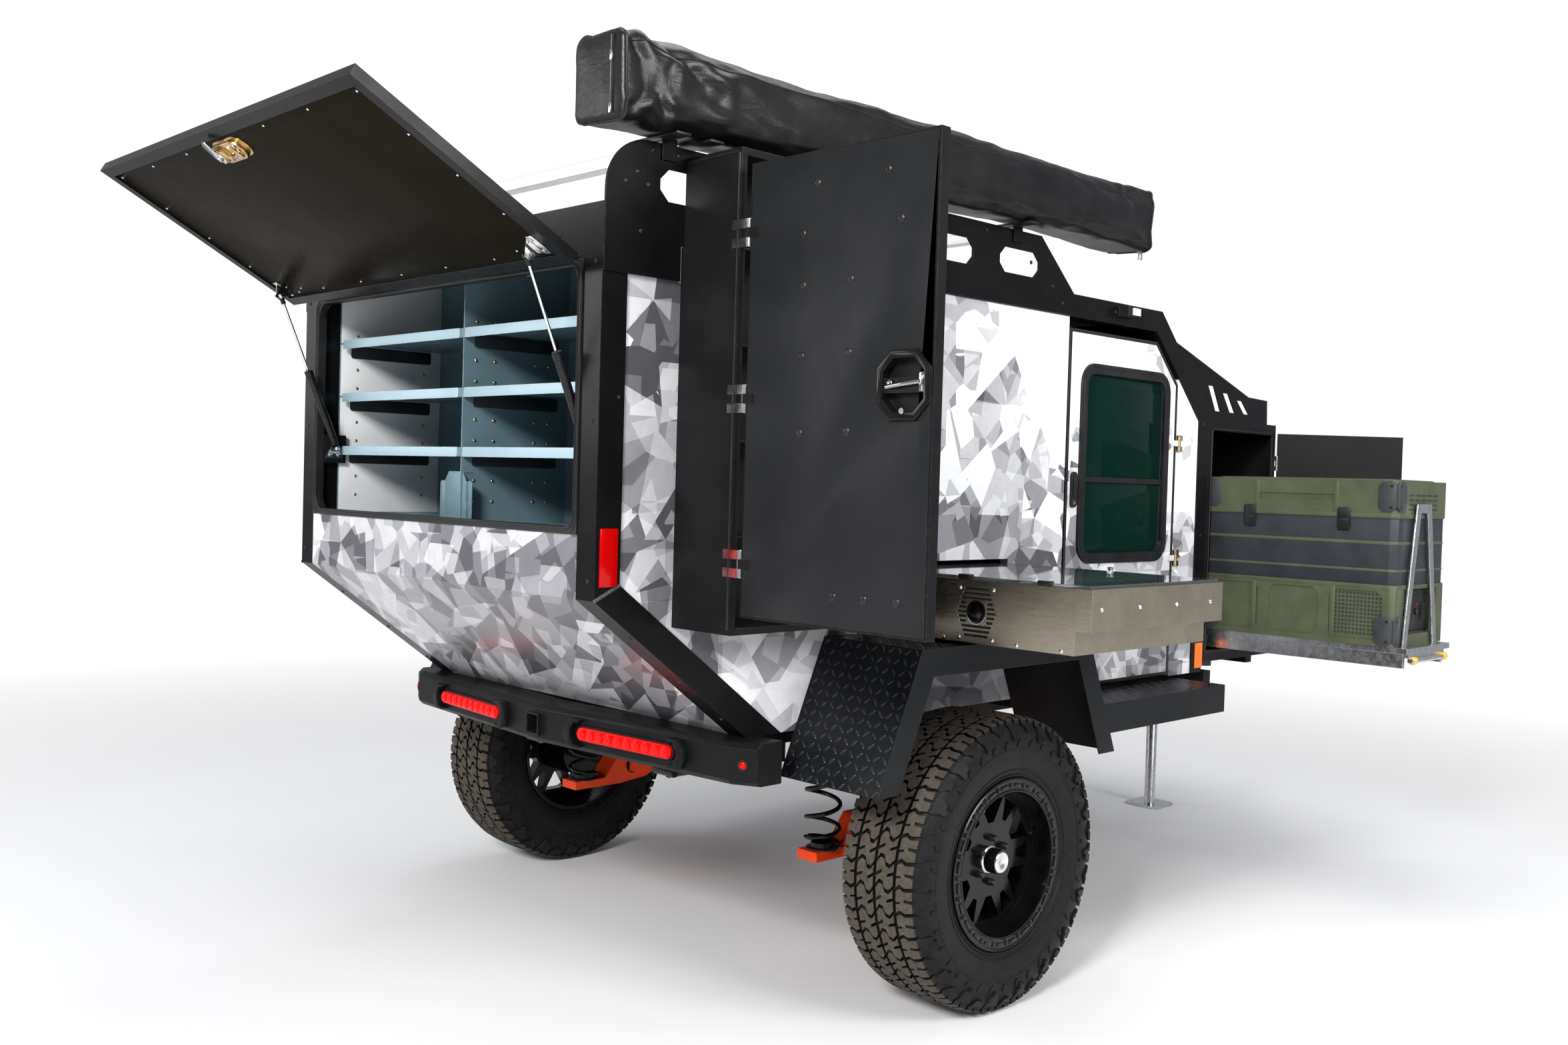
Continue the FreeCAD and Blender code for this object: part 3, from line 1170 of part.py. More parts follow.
tyre_half, tyre_r, rim = D.tyre_wide / 2, D.tyre_radius, D.rim_radius
bead = tyre_half - D.bead_inset
half_section = [
    (bead, rim), (bead + D.bead_flare, rim + D.bead_rise), (tyre_half - 4, tyre_r - D.tyre_flank * 1.5),
    (tyre_half, tyre_r - D.tyre_flank), (tyre_half - 8, tyre_r - D.tyre_flank / 4),
    (tyre_half - 28, tyre_r - 2), (tyre_half / 2 - 10, tyre_r),
]
tyre_corners = half_section + [(-u, v) for u, v in reversed(half_section)]
tyre = chorded("tyre_body", [(wheel_track + u, v) for u, v in tyre_corners], axle_z)
tyre_right, tyre_left = both_sides(tyre)
node("tyre_right", tyre_right)
node("tyre_left", tyre_left)
seat, ring_out = rim - 0.5, bead + 16
ring_in = bead + D.bead_flare * D.ring_rise / D.bead_rise + D.touch_gap
spoke_back = D.spoke_face - D.spoke_thick
rim_corners = [
    (-bead, seat), (ring_in, seat), (ring_in, rim + D.ring_rise), (ring_out, rim + D.ring_rise),
    (ring_out, rim - D.bead_ring), (spoke_back, rim - D.bead_ring),
    (spoke_back, rim - D.bead_ring / 2), (-bead, rim - D.bead_ring / 2),
]
barrel = chorded("rim_barrel", [(wheel_track + u, v) for u, v in rim_corners], axle_z)
spoke_x = (wheel_track + spoke_back, wheel_track + D.spoke_face)
disc = rod("rim_disc", "x", rim - D.bead_ring * 0.75, spoke_x, 0, axle_z)
hub_x = (wheel_track - D.hub_inboard, spoke_x[0])
hub = rod("rim_hub", "x", D.hub_radius, hub_x, 0, axle_z)
cap_x = (spoke_x[0], spoke_x[1] + D.cap_proud)
cap = rod("grease_cap", "x", D.spindle_radius + OVER, cap_x, 0, axle_z)
hub_bore_x = (hub_x[0] - OVER, wheel_track + D.spindle_past + D.run_fit)
hub_bore = rod("hub_bore", "x", D.spindle_radius + D.run_fit, hub_bore_x, 0, axle_z)


def spoke_window(name, middle, near, near_turn, far, far_turn):
    """A four-sided window through the disc, from one radius to another about a middle angle."""
    corners = []
    for radius, turn in ((near, -near_turn), (near, near_turn), (far, far_turn), (far, -far_turn)):
        angle = math.radians(middle + turn)
        corners.append((radius * math.cos(angle), axle_z + radius * math.sin(angle)))
    return prism(name, "x", corners, past(spoke_x))


spoke_windows = []
for index in range(6):
    middle = 60 * index
    spoke_windows += [
        spoke_window(f"fork_window_{index}", middle, D.fork_root, 4, D.window_tip, 9),
        spoke_window(f"spoke_window_{index}", middle + 30, D.window_root, 7, D.window_tip, 17),
    ]
wheel = cut("rim_cut", fuse("rim_weld", barrel, disc, hub, cap), hub_bore, *spoke_windows)
rim_right, rim_left = both_sides(wheel)
node("rim_right", rim_right)
node("rim_left", rim_left)

# Stabiliser legs, stowed flat under the tail

stab_y, stab_z = tail + 490, rail_low - D.stabiliser_drop
stab_x, eye_half = D.stabiliser_x, D.stabiliser_eye
stabiliser = fuse(
    "stabiliser_weld",
    rod("stabiliser_tube", "y", 22, (stab_y - D.stabiliser_long, stab_y), stab_x, stab_z),
    knuckle("stabiliser_eye", "x", 26, about(stab_x, eye_half), stab_y, stab_z),
    knuckle("stabiliser_toe", "x", 12, about(stab_x, 45), stab_y - D.stabiliser_long - 12, stab_z),
)
stabiliser_right, stabiliser_left = both_sides(stabiliser)
node("stabiliser_right", stabiliser_right)
node("stabiliser_left", stabiliser_left)

# Small carriers: hinge halves, and brackets of the springs, arms, stabilisers and struts

saddle_z = (pivot[1] + D.pivot_radius + D.touch_gap, tower_low)
saddle = box("arm_saddle", (rail_in - 70, rail_in), about(pivot[0], 25), saddle_z)
ear_gap = eye_half + D.run_fit
ear_spans = ((stab_x - ear_gap - 13, stab_x - ear_gap), (stab_x + ear_gap, stab_x + ear_gap + 13))
stab_ears = [
    box(f"stabiliser_ear_{index}", span, about(stab_y, 25), (stab_z - 20, tower_low))
    for index, span in enumerate(ear_spans)
]
strut_mount = knuckle("strut_mount", "x", D.strut_eye, (eye_x[1] + D.run_fit, inner), *strut_foot)
node("chassis_brackets", *both_sides(tower, saddle, *stab_ears, strut_mount))
node("fixed_hinges", *pantry_fixed, hatch_fixed, *both_sides(*entry_fixed, *nose_fixed))

# Safety chains hanging from the tongue, every other link turned

link_u, link_v = about(size(0), D.link_wide / 2), about(size(0), D.link_long / 2)
link_span = about(size(0), D.link_wire / 2)
chain_link = cut_ring("chain_link", "y", link_span, link_u, link_v, D.link_wide / 3, D.link_wire)
chain_links = []
link_pitch = D.link_long - D.link_wire * 2 - D.touch_gap * 2
for side in (1, -1):
    for index in range(9):
        height = rail_low - D.link_long / 2 - D.touch_gap - link_pitch * index
        spot = (D.chain_x * side, tongue_tip - D.chain_back, height)
        name, turn = f"chain_link_{len(chain_links)}", 90 * (index % 2) + 10 * side
        chain_links.append(moved(name, chain_link, turn, Z, (0, 0, 0), spot))
node("safety_chains", *chain_links)

doc.recompute()
for thing in doc.Objects:
    if {"Invalid", "Error"} & set(thing.State):
        raise RuntimeError(f"{thing.Name} did not build: {thing.State}")
for part in nodes:
    if part.Shape.isNull() or not part.Shape.isValid():
        raise RuntimeError(f"{part.Label} has no valid shape")
os.makedirs("parts", exist_ok=True)
for part in nodes:
    part.Shape.exportStep(os.path.join("parts", f"{part.Label}.step"))
print(len(nodes), "sub-parts written")
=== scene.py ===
import json
import math

import bmesh
import bpy
from mathutils import Matrix, Vector, noise


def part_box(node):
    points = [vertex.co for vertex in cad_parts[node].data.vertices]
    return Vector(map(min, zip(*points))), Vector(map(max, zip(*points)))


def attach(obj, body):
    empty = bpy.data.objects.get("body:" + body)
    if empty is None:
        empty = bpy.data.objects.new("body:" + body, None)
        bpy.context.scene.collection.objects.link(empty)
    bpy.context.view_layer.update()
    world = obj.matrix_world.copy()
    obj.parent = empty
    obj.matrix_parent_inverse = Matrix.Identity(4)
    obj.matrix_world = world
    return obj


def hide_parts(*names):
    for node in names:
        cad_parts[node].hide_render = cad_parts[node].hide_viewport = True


# A squared-off off-road camping trailer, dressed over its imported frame.
# Lengths are metres. Places are measured from the axle line, the ground and the centre plane,
# and ORIGIN carries them into the row frame.

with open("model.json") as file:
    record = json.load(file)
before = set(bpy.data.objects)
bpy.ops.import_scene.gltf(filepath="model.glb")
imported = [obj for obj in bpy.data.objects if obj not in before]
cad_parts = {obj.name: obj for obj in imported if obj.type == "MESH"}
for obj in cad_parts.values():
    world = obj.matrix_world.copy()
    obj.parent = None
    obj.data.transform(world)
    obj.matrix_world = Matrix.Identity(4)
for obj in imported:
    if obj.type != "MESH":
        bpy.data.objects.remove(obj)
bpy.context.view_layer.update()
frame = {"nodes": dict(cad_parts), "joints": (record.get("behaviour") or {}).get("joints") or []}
NODES = frame["nodes"]
JOINTS = {joint["name"]: joint for joint in frame["joints"]}
ORIGIN = Vector((0, JOINTS["wheel_right_spin"]["pos_m"][1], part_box("tyre_right")[0].z))
X, Y, Z = Vector((1, 0, 0)), Vector((0, 1, 0)), Vector((0, 0, 1))
# edges turn sharper than this before they are rounded
EASE_FROM = math.radians(30)


def limits(node):
    """A node's lowest and highest corners, measured from the axle line and the ground."""
    low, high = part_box(node)
    return low - ORIGIN, high - ORIGIN


# Shapes: each returns its corners and faces


def grown(bm):
    """The corners and faces of a finished bmesh."""
    bm.verts.ensure_lookup_table()
    bm.verts.index_update()
    corners = [vert.co.copy() for vert in bm.verts]
    faces = [[vert.index for vert in face.verts] for face in bm.faces]
    bm.free()
    return corners, faces


def eased(bm, width, steps=2):
    """Rounds the edges of a bmesh that are sharper than EASE_FROM."""
    if width > 0:
        sharp = [
            edge for edge in bm.edges
            if len(edge.link_faces) == 2 and edge.calc_face_angle(0) > EASE_FROM
        ]
        bmesh.ops.bevel(
            bm, geom=sharp, offset=width, segments=steps, affect="EDGES",
            profile=0.5, clamp_overlap=True,
        )
    return grown(bm)


def block(x, y, z, ease=0.0015, steps=2):
    """A block between three pairs of limits."""
    bm = bmesh.new()
    bmesh.ops.create_cube(bm, size=1)
    spans = [(min(pair), max(pair)) for pair in (x, y, z)]
    for vert in bm.verts:
        vert.co = Vector([low if part < 0 else high for part, (low, high) in zip(vert.co, spans)])
    return eased(bm, ease, steps)


def prism(points, span, normal="z", ease=0.001, steps=2, holes=()):
    """An outline pushed along an axis; points are the two other coordinates in order."""
    bm = bmesh.new()
    order = {"x": (2, 0, 1), "y": (0, 2, 1), "z": (0, 1, 2)}[normal]
    edges = []
    for loop in (points, *holes):
        verts = []
        for u, v in loop:
            parts = (u, v, span[0])
            verts.append(bm.verts.new([parts[index] for index in order]))
        edges += [bm.edges.new((a, b)) for a, b in zip(verts, verts[1:] + verts[:1])]
    bmesh.ops.triangle_fill(bm, use_beauty=True, edges=edges)
    bmesh.ops.dissolve_limit(bm, angle_limit=0.01, verts=bm.verts, edges=bm.edges)
    push = bmesh.ops.extrude_face_region(bm, geom=list(bm.faces))
    shift = Vector([(0, 0, span[1] - span[0])[index] for index in order])
    moved = [item for item in push["geom"] if isinstance(item, bmesh.types.BMVert)]
    bmesh.ops.translate(bm, vec=shift, verts=moved)
    bmesh.ops.recalc_face_normals(bm, faces=bm.faces)
    return eased(bm, ease, steps)


def band(first, second, count):
    """Faces between two rings of corners, given by the number of each ring's first corner."""
    return [[first + k, first + (k + 1) % count, second + (k + 1) % count, second + k]
            for k in range(count)]


def lathe(profile, sides=32, closed=False):
    """A profile of (radius, height) turned about the z axis."""
    corners, faces, rings = [], [], []
    for radius, height in profile:
        count = 1 if radius < 1e-6 else sides
        rings.append(range(len(corners), len(corners) + count))
        for angle in (math.tau * index / count for index in range(count)):
            corners.append(Vector((radius * math.cos(angle), radius * math.sin(angle), height)))
    for first, second in zip(rings, rings[1:] + rings[:1] if closed else rings[1:]):
        for index in range(sides):
            after = (index + 1) % sides
            face = [first[index % len(first)], first[after % len(first)],
                    second[after % len(second)], second[index % len(second)]]
            face = list(dict.fromkeys(face))
            if len(face) > 2:
                faces.append(face)
    return corners, faces


def rounded_rod(radius, low, high, ease=0.001, sides=24):
    """A solid round bar along z with eased ends."""
    return lathe([(0, low), (radius - ease, low), (radius, low + ease),
                  (radius, high - ease), (radius - ease, high), (0, high)], sides)


def dome(radius, height, sides=12, steps=3):
    """A low round head standing on z = 0."""
    bow = [(radius * math.cos(a), height * math.sin(a))
           for a in (math.pi / 2 * step / steps for step in range(steps))]
    return lathe([(radius, -0.0005), *bow, (0, height)], sides)


def hexagon(radius, height, ease=0.0006):
    """A hexagonal nut or head standing on z = 0."""
    points = [(radius * math.cos(math.tau * k / 6), radius * math.sin(math.tau * k / 6))
              for k in range(6)]
    return prism(points, (0, height), ease=ease)


def pipe(points, radius, sides=12, closed=False):
    """A round bar along a line of points."""
    points = [Vector(point) for point in points]
    count = len(points)
    corners, faces = [], []
    up = None
    for index, point in enumerate(points):
        before = points[index - 1] if index or closed else point
        after = points[(index + 1) % count] if index < count - 1 or closed else point
        run = (after - before).normalized()
        if up is None:
            up = run.orthogonal().normalized()
        up = (up - run * up.dot(run)).normalized()
        side = run.cross(up)
        for step in range(sides):
            angle = math.tau * step / sides
            corners.append(point + (up * math.cos(angle) + side * math.sin(angle)) * radius)
    for index in range(count if closed else count - 1):
        faces += band(index * sides, (index + 1) % count * sides, sides)
    if not closed:
        faces.append(list(range(sides))[::-1])
        faces.append([(count - 1) * sides + step for step in range(sides)])
    return corners, faces


def arc(centre, radius, start, end, steps):
    """Points of an arc in a plane, its angles in degrees."""
    angles = (math.radians(start + (end - start) * k / steps) for k in range(steps + 1))
    return [(centre[0] + radius * math.cos(angle), centre[1] + radius * math.sin(angle))
            for angle in angles]


def round_rect(u, v, radius, steps=6):
    """The outline of a rectangle with rounded corners."""
    (u0, u1), (v0, v1) = ((low + radius, high - radius) for low, high in (u, v))
    points = []
    for quarter, middle in enumerate(((u1, v0), (u1, v1), (u0, v1), (u0, v0))):
        points += arc(middle, radius, 90 * quarter - 90, 90 * quarter, steps)
    return points


def facing(way, spot=(0, 0, 0), turn=0.0):
    """A matrix that points the z axis along a direction at a spot."""
    rotation = Vector(way).to_track_quat("Z", "Y").to_matrix().to_4x4()
    return Matrix.Translation(Vector(spot)) @ rotation @ Matrix.Rotation(turn, 4, "Z")


class Piece:
    """Geometry gathered into one object of one look, riding on one CAD body."""

    def __init__(self, name, look, body="trailer", turn=None):
        self.name, self.look, self.body = name, look, body
        self.turn = turn or Matrix.Identity(4)
        self.corners, self.faces = [], []

    def add(self, shape, *matrices):
        corners, faces = shape
        for matrix in matrices or (Matrix.Identity(4),):
            base = len(self.corners)
            self.corners += [matrix @ corner for corner in corners]
            way = -1 if matrix.determinant() < 0 else 1
            self.faces += [[base + index for index in face[::way]] for face in faces]
        return self

    def done(self, *replaced, angle=35, both=False):
        """Makes the object, with a mirror image of it on the other side where both is set."""
        if both:
            self.add((self.corners, self.faces), Matrix.Diagonal((-1, 1, 1, 1)))
        mesh = bpy.data.meshes.new(self.name)
        shift = Matrix.Translation(ORIGIN) @ self.turn
        mesh.from_pydata([shift @ corner for corner in self.corners], [], self.faces)
        mesh.validate()
        mesh.shade_smooth()
        mesh.set_sharp_from_angle(angle=math.radians(angle))
        mesh.materials.append(LOOKS[self.look])
        thing = bpy.data.objects.new(self.name, mesh)
        bpy.context.scene.collection.objects.link(thing)
        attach(thing, self.body)
        if replaced:
            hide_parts(*replaced)
        return thing


# Looks: every material is worked out from object coordinates


class Look:
    """A material being built: one Principled shader with colour, roughness and bump."""

    def __init__(self, name, **sockets):
        self.material = bpy.data.materials.new(name)
        self.material.use_nodes = True
        self.tree = self.material.node_tree
        self.shader = self.tree.nodes["Principled BSDF"]
        for socket, value in sockets.items():
            self.set(socket.replace("_", " "), value)
        self.place = self.make("ShaderNodeTexCoord").outputs["Object"]
        self.normal = None

    def make(self, kind, inputs=None, **settings):
        node = self.tree.nodes.new(kind)
        for key, value in settings.items():
            setattr(node, key, value)
        for key, value in (inputs or {}).items():
            self.feed(node.inputs[key], value)
        return node

    def feed(self, socket, value):
        if isinstance(value, bpy.types.NodeSocket):
            self.tree.links.new(value, socket)
        elif isinstance(value, tuple) and socket.type == "RGBA" and len(value) == 3:
            socket.default_value = (*value, 1)
        else:
            socket.default_value = value

    def set(self, socket, value):
        self.feed(self.shader.inputs[socket], value)
        return self

    def stretched(self, x, y, z):
        return self.make("ShaderNodeMapping", {"Vector": self.place, "Scale": (x, y, z)}).outputs[0]

    def noise(self, scale, detail=2.0, rough=0.5, place=None, bend=0.0):
        return self.make("ShaderNodeTexNoise", {
            "Vector": place or self.place, "Scale": scale, "Detail": detail,
            "Roughness": rough, "Distortion": bend,
        }).outputs["Fac"]

    def ramp(self, value, *stops, hard=False):
        """Stops are (place, colour or grey)."""
        node = self.make("ShaderNodeValToRGB", {"Fac": value})
        colours = node.color_ramp
        colours.interpolation = "CONSTANT" if hard else "LINEAR"
        while len(colours.elements) < len(stops):
            colours.elements.new(0.5)
        for element, (spot, shade) in zip(colours.elements, stops):
            element.position = spot
            element.color = (*shade, 1) if isinstance(shade, tuple) else (shade, shade, shade, 1)
        return node.outputs["Color"]

    def span(self, value, low, high, into=(0.0, 1.0)):
        return self.make("ShaderNodeMapRange", {
            "Value": value, "From Min": low, "From Max": high, "To Min": into[0], "To Max": into[1],
        }).outputs["Result"]

    def sum(self, kind, first, second):
        return self.make("ShaderNodeMath", {0: first, 1: second}, operation=kind).outputs[0]

    def blend(self, share, first, second, mode="MIX"):
        inputs = {"Factor": share, 6: first, 7: second}
        return self.make("ShaderNodeMix", inputs, data_type="RGBA", blend_type=mode).outputs[2]

    def vector(self, kind, first, second):
        return self.make("ShaderNodeVectorMath", {0: first, 1: second}, operation=kind)

    def axis(self, letter, place=None):
        return self.make("ShaderNodeSeparateXYZ", {"Vector": place or self.place}).outputs[letter]

    def bump(self, height, strength=0.2, distance=0.001):
        inputs = {"Height": height, "Strength": strength, "Distance": distance}
        if self.normal is not None:
            inputs["Normal"] = self.normal
        self.normal = self.make("ShaderNodeBump", inputs).outputs["Normal"]
        self.set("Normal", self.normal)
        return self

    def tint(self, low, high, scale):
        """Colour that drifts between two shades."""
        cloud = self.noise(scale, 3.0, 0.6)
        return self.set("Base Color", self.ramp(cloud, (0.3, low), (0.7, high)))

    def gloss(self, low, high, scale):
        """Roughness that drifts between two values."""
        cloud = self.noise(scale, 3.0, 0.65)
        return self.set("Roughness", self.span(cloud, 0.3, 0.7, (low, high)))


def powder_coat(name, low, high, rough, grain=0.12, mirror=0.12):
    """Powder-coated metal: fine orange peel and a little wear along its edges."""
    look = Look(name, Specular_IOR_Level=mirror)
    look.gloss(*rough, 9.0)
    cloud = look.noise(5.0, 4.0, 0.6)
    shade = look.ramp(cloud, (0.3, low), (0.7, high))
    edge = look.make("ShaderNodeBevel", {"Radius": 0.003}, samples=2).outputs["Normal"]
    face = look.make("ShaderNodeNewGeometry").outputs["Normal"]
    worn = look.span(look.vector("DOT_PRODUCT", edge, face).outputs["Value"], 0.99, 0.8)
    broken = look.sum("MULTIPLY", worn, look.span(look.noise(60.0, 3.0), 0.45, 0.65))
    pale = tuple(min(1.0, part * 1.8 + 0.02) for part in high)
    look.set("Base Color", look.blend(broken, shade, pale))
    look.bump(look.noise(700.0, 1.0), grain, 0.0004)
    return look.material


# shades of the printed triangles, each from its place on a scale of 0 to 1
PRINT_SHADES = (
    (0.0, (0.085, 0.085, 0.095)), (0.24, (0.17, 0.17, 0.185)), (0.37, (0.29, 0.29, 0.31)),
    (0.5, (0.43, 0.43, 0.45)), (0.62, (0.58, 0.58, 0.6)), (0.76, (0.72, 0.72, 0.735)),
)


def wedges(look, flat, scale, parts):
    """Cells cut into wedges about their middles: a value for each wedge and one for its cell."""
    cell = look.make("ShaderNodeTexVoronoi", {"Vector": flat, "Scale": scale}, voronoi_dimensions="2D")
    middle = cell.outputs["Position"]
    away = look.vector("SUBTRACT", flat, middle).outputs[0]
    angle = look.sum("ARCTAN2", look.axis(1, away), look.axis(0, away))
    lot = look.make("ShaderNodeTexWhiteNoise", {"Vector": middle}).outputs["Value"]
    turned = look.sum("ADD", look.sum("MULTIPLY", angle, parts / math.tau),
                      look.sum("MULTIPLY", lot, 3.0))
    wedge = look.make("ShaderNodeMath", {0: turned}, operation="FLOOR").outputs[0]
    lifted = look.make("ShaderNodeCombineXYZ", {"Z": wedge}).outputs[0]
    key = look.vector("ADD", middle, lifted).outputs[0]
    return look.make("ShaderNodeTexWhiteNoise", {"Vector": key}).outputs["Value"], lot


def facet_print(name, flat_on="side"):
    """Grey and white triangles, thin at the top and ahead, dense low and behind, under a satin film."""
    look = Look(name, Coat_Weight=0.2, Coat_Roughness=0.12)
    if flat_on == "side":
        along, over = look.sum("ADD", look.axis(0), look.axis(1)), look.axis(2)
    else:
        along, over = look.axis(0), look.sum("MULTIPLY", look.axis(1), 1.143)
    flat = look.make("ShaderNodeCombineXYZ", {"X": along, "Y": over}).outputs[0]
    coarse, coarse_lot = wedges(look, flat, 4.6, 5)
    fine, fine_lot = wedges(look, flat, 9.0, 4)
    mixed = look.sum("ADD", look.sum("MULTIPLY", coarse, 0.62), look.sum("MULTIPLY", fine, 0.38))
    shade = look.ramp(mixed, *PRINT_SHADES, hard=True)
    wash = look.span(look.noise(16.0, 5.0, 0.7), 0.2, 0.8, (0.82, 1.1))
    shade = look.blend(1.0, shade, look.ramp(wash, (0.0, 0.0), (1.0, 1.0)), "MULTIPLY")
    # the chance that a triangle is grey falls with height and with distance ahead
    chance = look.noise(1.5, 2.0, 0.5)
    for value, low, high, into in (
            (look.axis(2), 0.1, 1.45, (0.42, -0.22)), (look.axis(1), -4.2, -1.4, (0.32, -0.12)),
            (coarse_lot, 0.0, 1.0, (-0.12, 0.12)), (coarse, 0.0, 1.0, (-0.16, 0.16)),
            (fine_lot, 0.0, 1.0, (-0.07, 0.07))):
        chance = look.sum("ADD", chance, look.span(value, low, high, into))
    filled = look.sum("GREATER_THAN", chance, 0.5)
    white = look.ramp(look.noise(3.0, 3.0), (0.3, (0.82, 0.82, 0.825)), (0.7, (0.88, 0.88, 0.885)))
    look.set("Base Color", look.blend(filled, white, shade))
    look.gloss(0.26, 0.36, 7.0)
    look.bump(look.noise(240.0, 2.0), 0.05, 0.0005)
    return look.material


def brushed(name, low, high, rough=(0.24, 0.4), depth=0.12):
    """Brushed metal with its grain along x."""
    look = Look(name, Metallic=1.0)
    grain = look.noise(420.0, 3.0, 0.6, look.stretched(0.04, 1, 1))
    cloud = look.noise(6.0, 4.0, 0.65)
    mixed = look.sum("ADD", look.sum("MULTIPLY", grain, 0.5), look.sum("MULTIPLY", cloud, 0.5))
    look.set("Base Color", look.ramp(mixed, (0.35, low), (0.65, high)))
    look.set("Roughness", look.span(mixed, 0.35, 0.65, rough))
    look.bump(grain, depth, 0.0003)
    return look.material


def smooth_metal(name, low, high, rough, scale=30.0, metallic=1.0):
    """Plated or cast metal with a little staining."""
    look = Look(name, Metallic=metallic, Specular_IOR_Level=0.3)
    look.tint(low, high, scale)
    look.gloss(*rough, scale * 1.5)
    look.bump(look.noise(scale * 20, 2.0), 0.08, 0.0003)
    return look.material


def moulding(name, low, high, rough, grain=900.0, strength=0.25):
    """Moulded plastic or rubber with a fine grain."""
    look = Look(name, Specular_IOR_Level=0.3)
    look.tint(low, high, 12.0)
    look.gloss(*rough, 24.0)
    look.bump(look.noise(grain, 2.0), strength, 0.0004)
    return look.material


def tread_rubber(name):
    """Tyre rubber: black in the grooves and on the walls, brown with dust where it meets the ground."""
    look = Look(name, Specular_IOR_Level=0.16)
    spin = look.make("ShaderNodeAttribute", attribute_name="wear").outputs["Fac"]
    cloud = look.noise(28.0, 5.0, 0.7)
    dust = look.sum("MULTIPLY", spin, look.span(cloud, 0.25, 0.7, (0.75, 1.0)))
    rubber = look.ramp(look.noise(40.0, 3.0), (0.3, (0.004, 0.004, 0.0045)),
                       (0.7, (0.009, 0.009, 0.0095)))
    earth = look.ramp(look.noise(90.0, 4.0, 0.7), (0.3, (0.050, 0.042, 0.035)),
                      (0.7, (0.105, 0.088, 0.072)))
    look.set("Base Color", look.blend(dust, rubber, earth))
    look.set("Roughness", look.span(spin, 0.0, 1.0, (0.5, 0.82)))
    look.bump(look.noise(900.0, 3.0), 0.25, 0.0006)
    return look.material


def coated_cloth(name):
    """Black coated cloth: fine weave, creases and a soft shine."""
    look = Look(name, Specular_IOR_Level=0.34)
    look.tint((0.003, 0.003, 0.0033), (0.007, 0.007, 0.0075), 5.0)
    look.gloss(0.26, 0.42, 6.0)
    waves = [look.make("ShaderNodeTexWave", {"Vector": look.place, "Scale": 260.0, "Distortion": 0.4},
                       bands_direction=way).outputs["Fac"] for way in "YZ"]
    look.bump(look.sum("MULTIPLY", *waves), 0.05, 0.0003)
    look.bump(look.noise(34.0, 4.0, 0.6, look.stretched(1.0, 0.45, 1.4), 0.6), 0.35, 0.004)
    look.bump(look.noise(110.0, 3.0, 0.6), 0.12, 0.0012)
    return look.material


def lens(name, low, high, glow=0.0, coat=0.6):
    """A coloured lamp lens with fine ribs."""
    look = Look(name, Coat_Weight=coat, Coat_Roughness=0.05, Specular_IOR_Level=0.15)
    ribs = look.make("ShaderNodeTexWave", {"Vector": look.place, "Scale": 90.0}, bands_direction="X")
    shade = look.ramp(ribs.outputs["Fac"], (0.2, low), (0.8, high))
    look.set("Base Color", shade)
    look.gloss(0.1, 0.2, 60.0)
    look.set("Emission Color", shade).set("Emission Strength", glow)
    look.bump(ribs.outputs["Fac"], 0.15, 0.0006)
    return look.material


def pane(name, low, high, clear=0.0, coat=0.3, mirror=0.5):
    """Window glass, dark or clear."""
    look = Look(name, Transmission_Weight=clear, IOR=1.45, Coat_Weight=coat, Coat_Roughness=0.02,
                Specular_IOR_Level=mirror)
    look.tint(low, high, 2.0)
    look.gloss(0.03, 0.06, 5.0)
    look.bump(look.noise(3.0, 1.0), 0.02, 0.001)
    return look.material


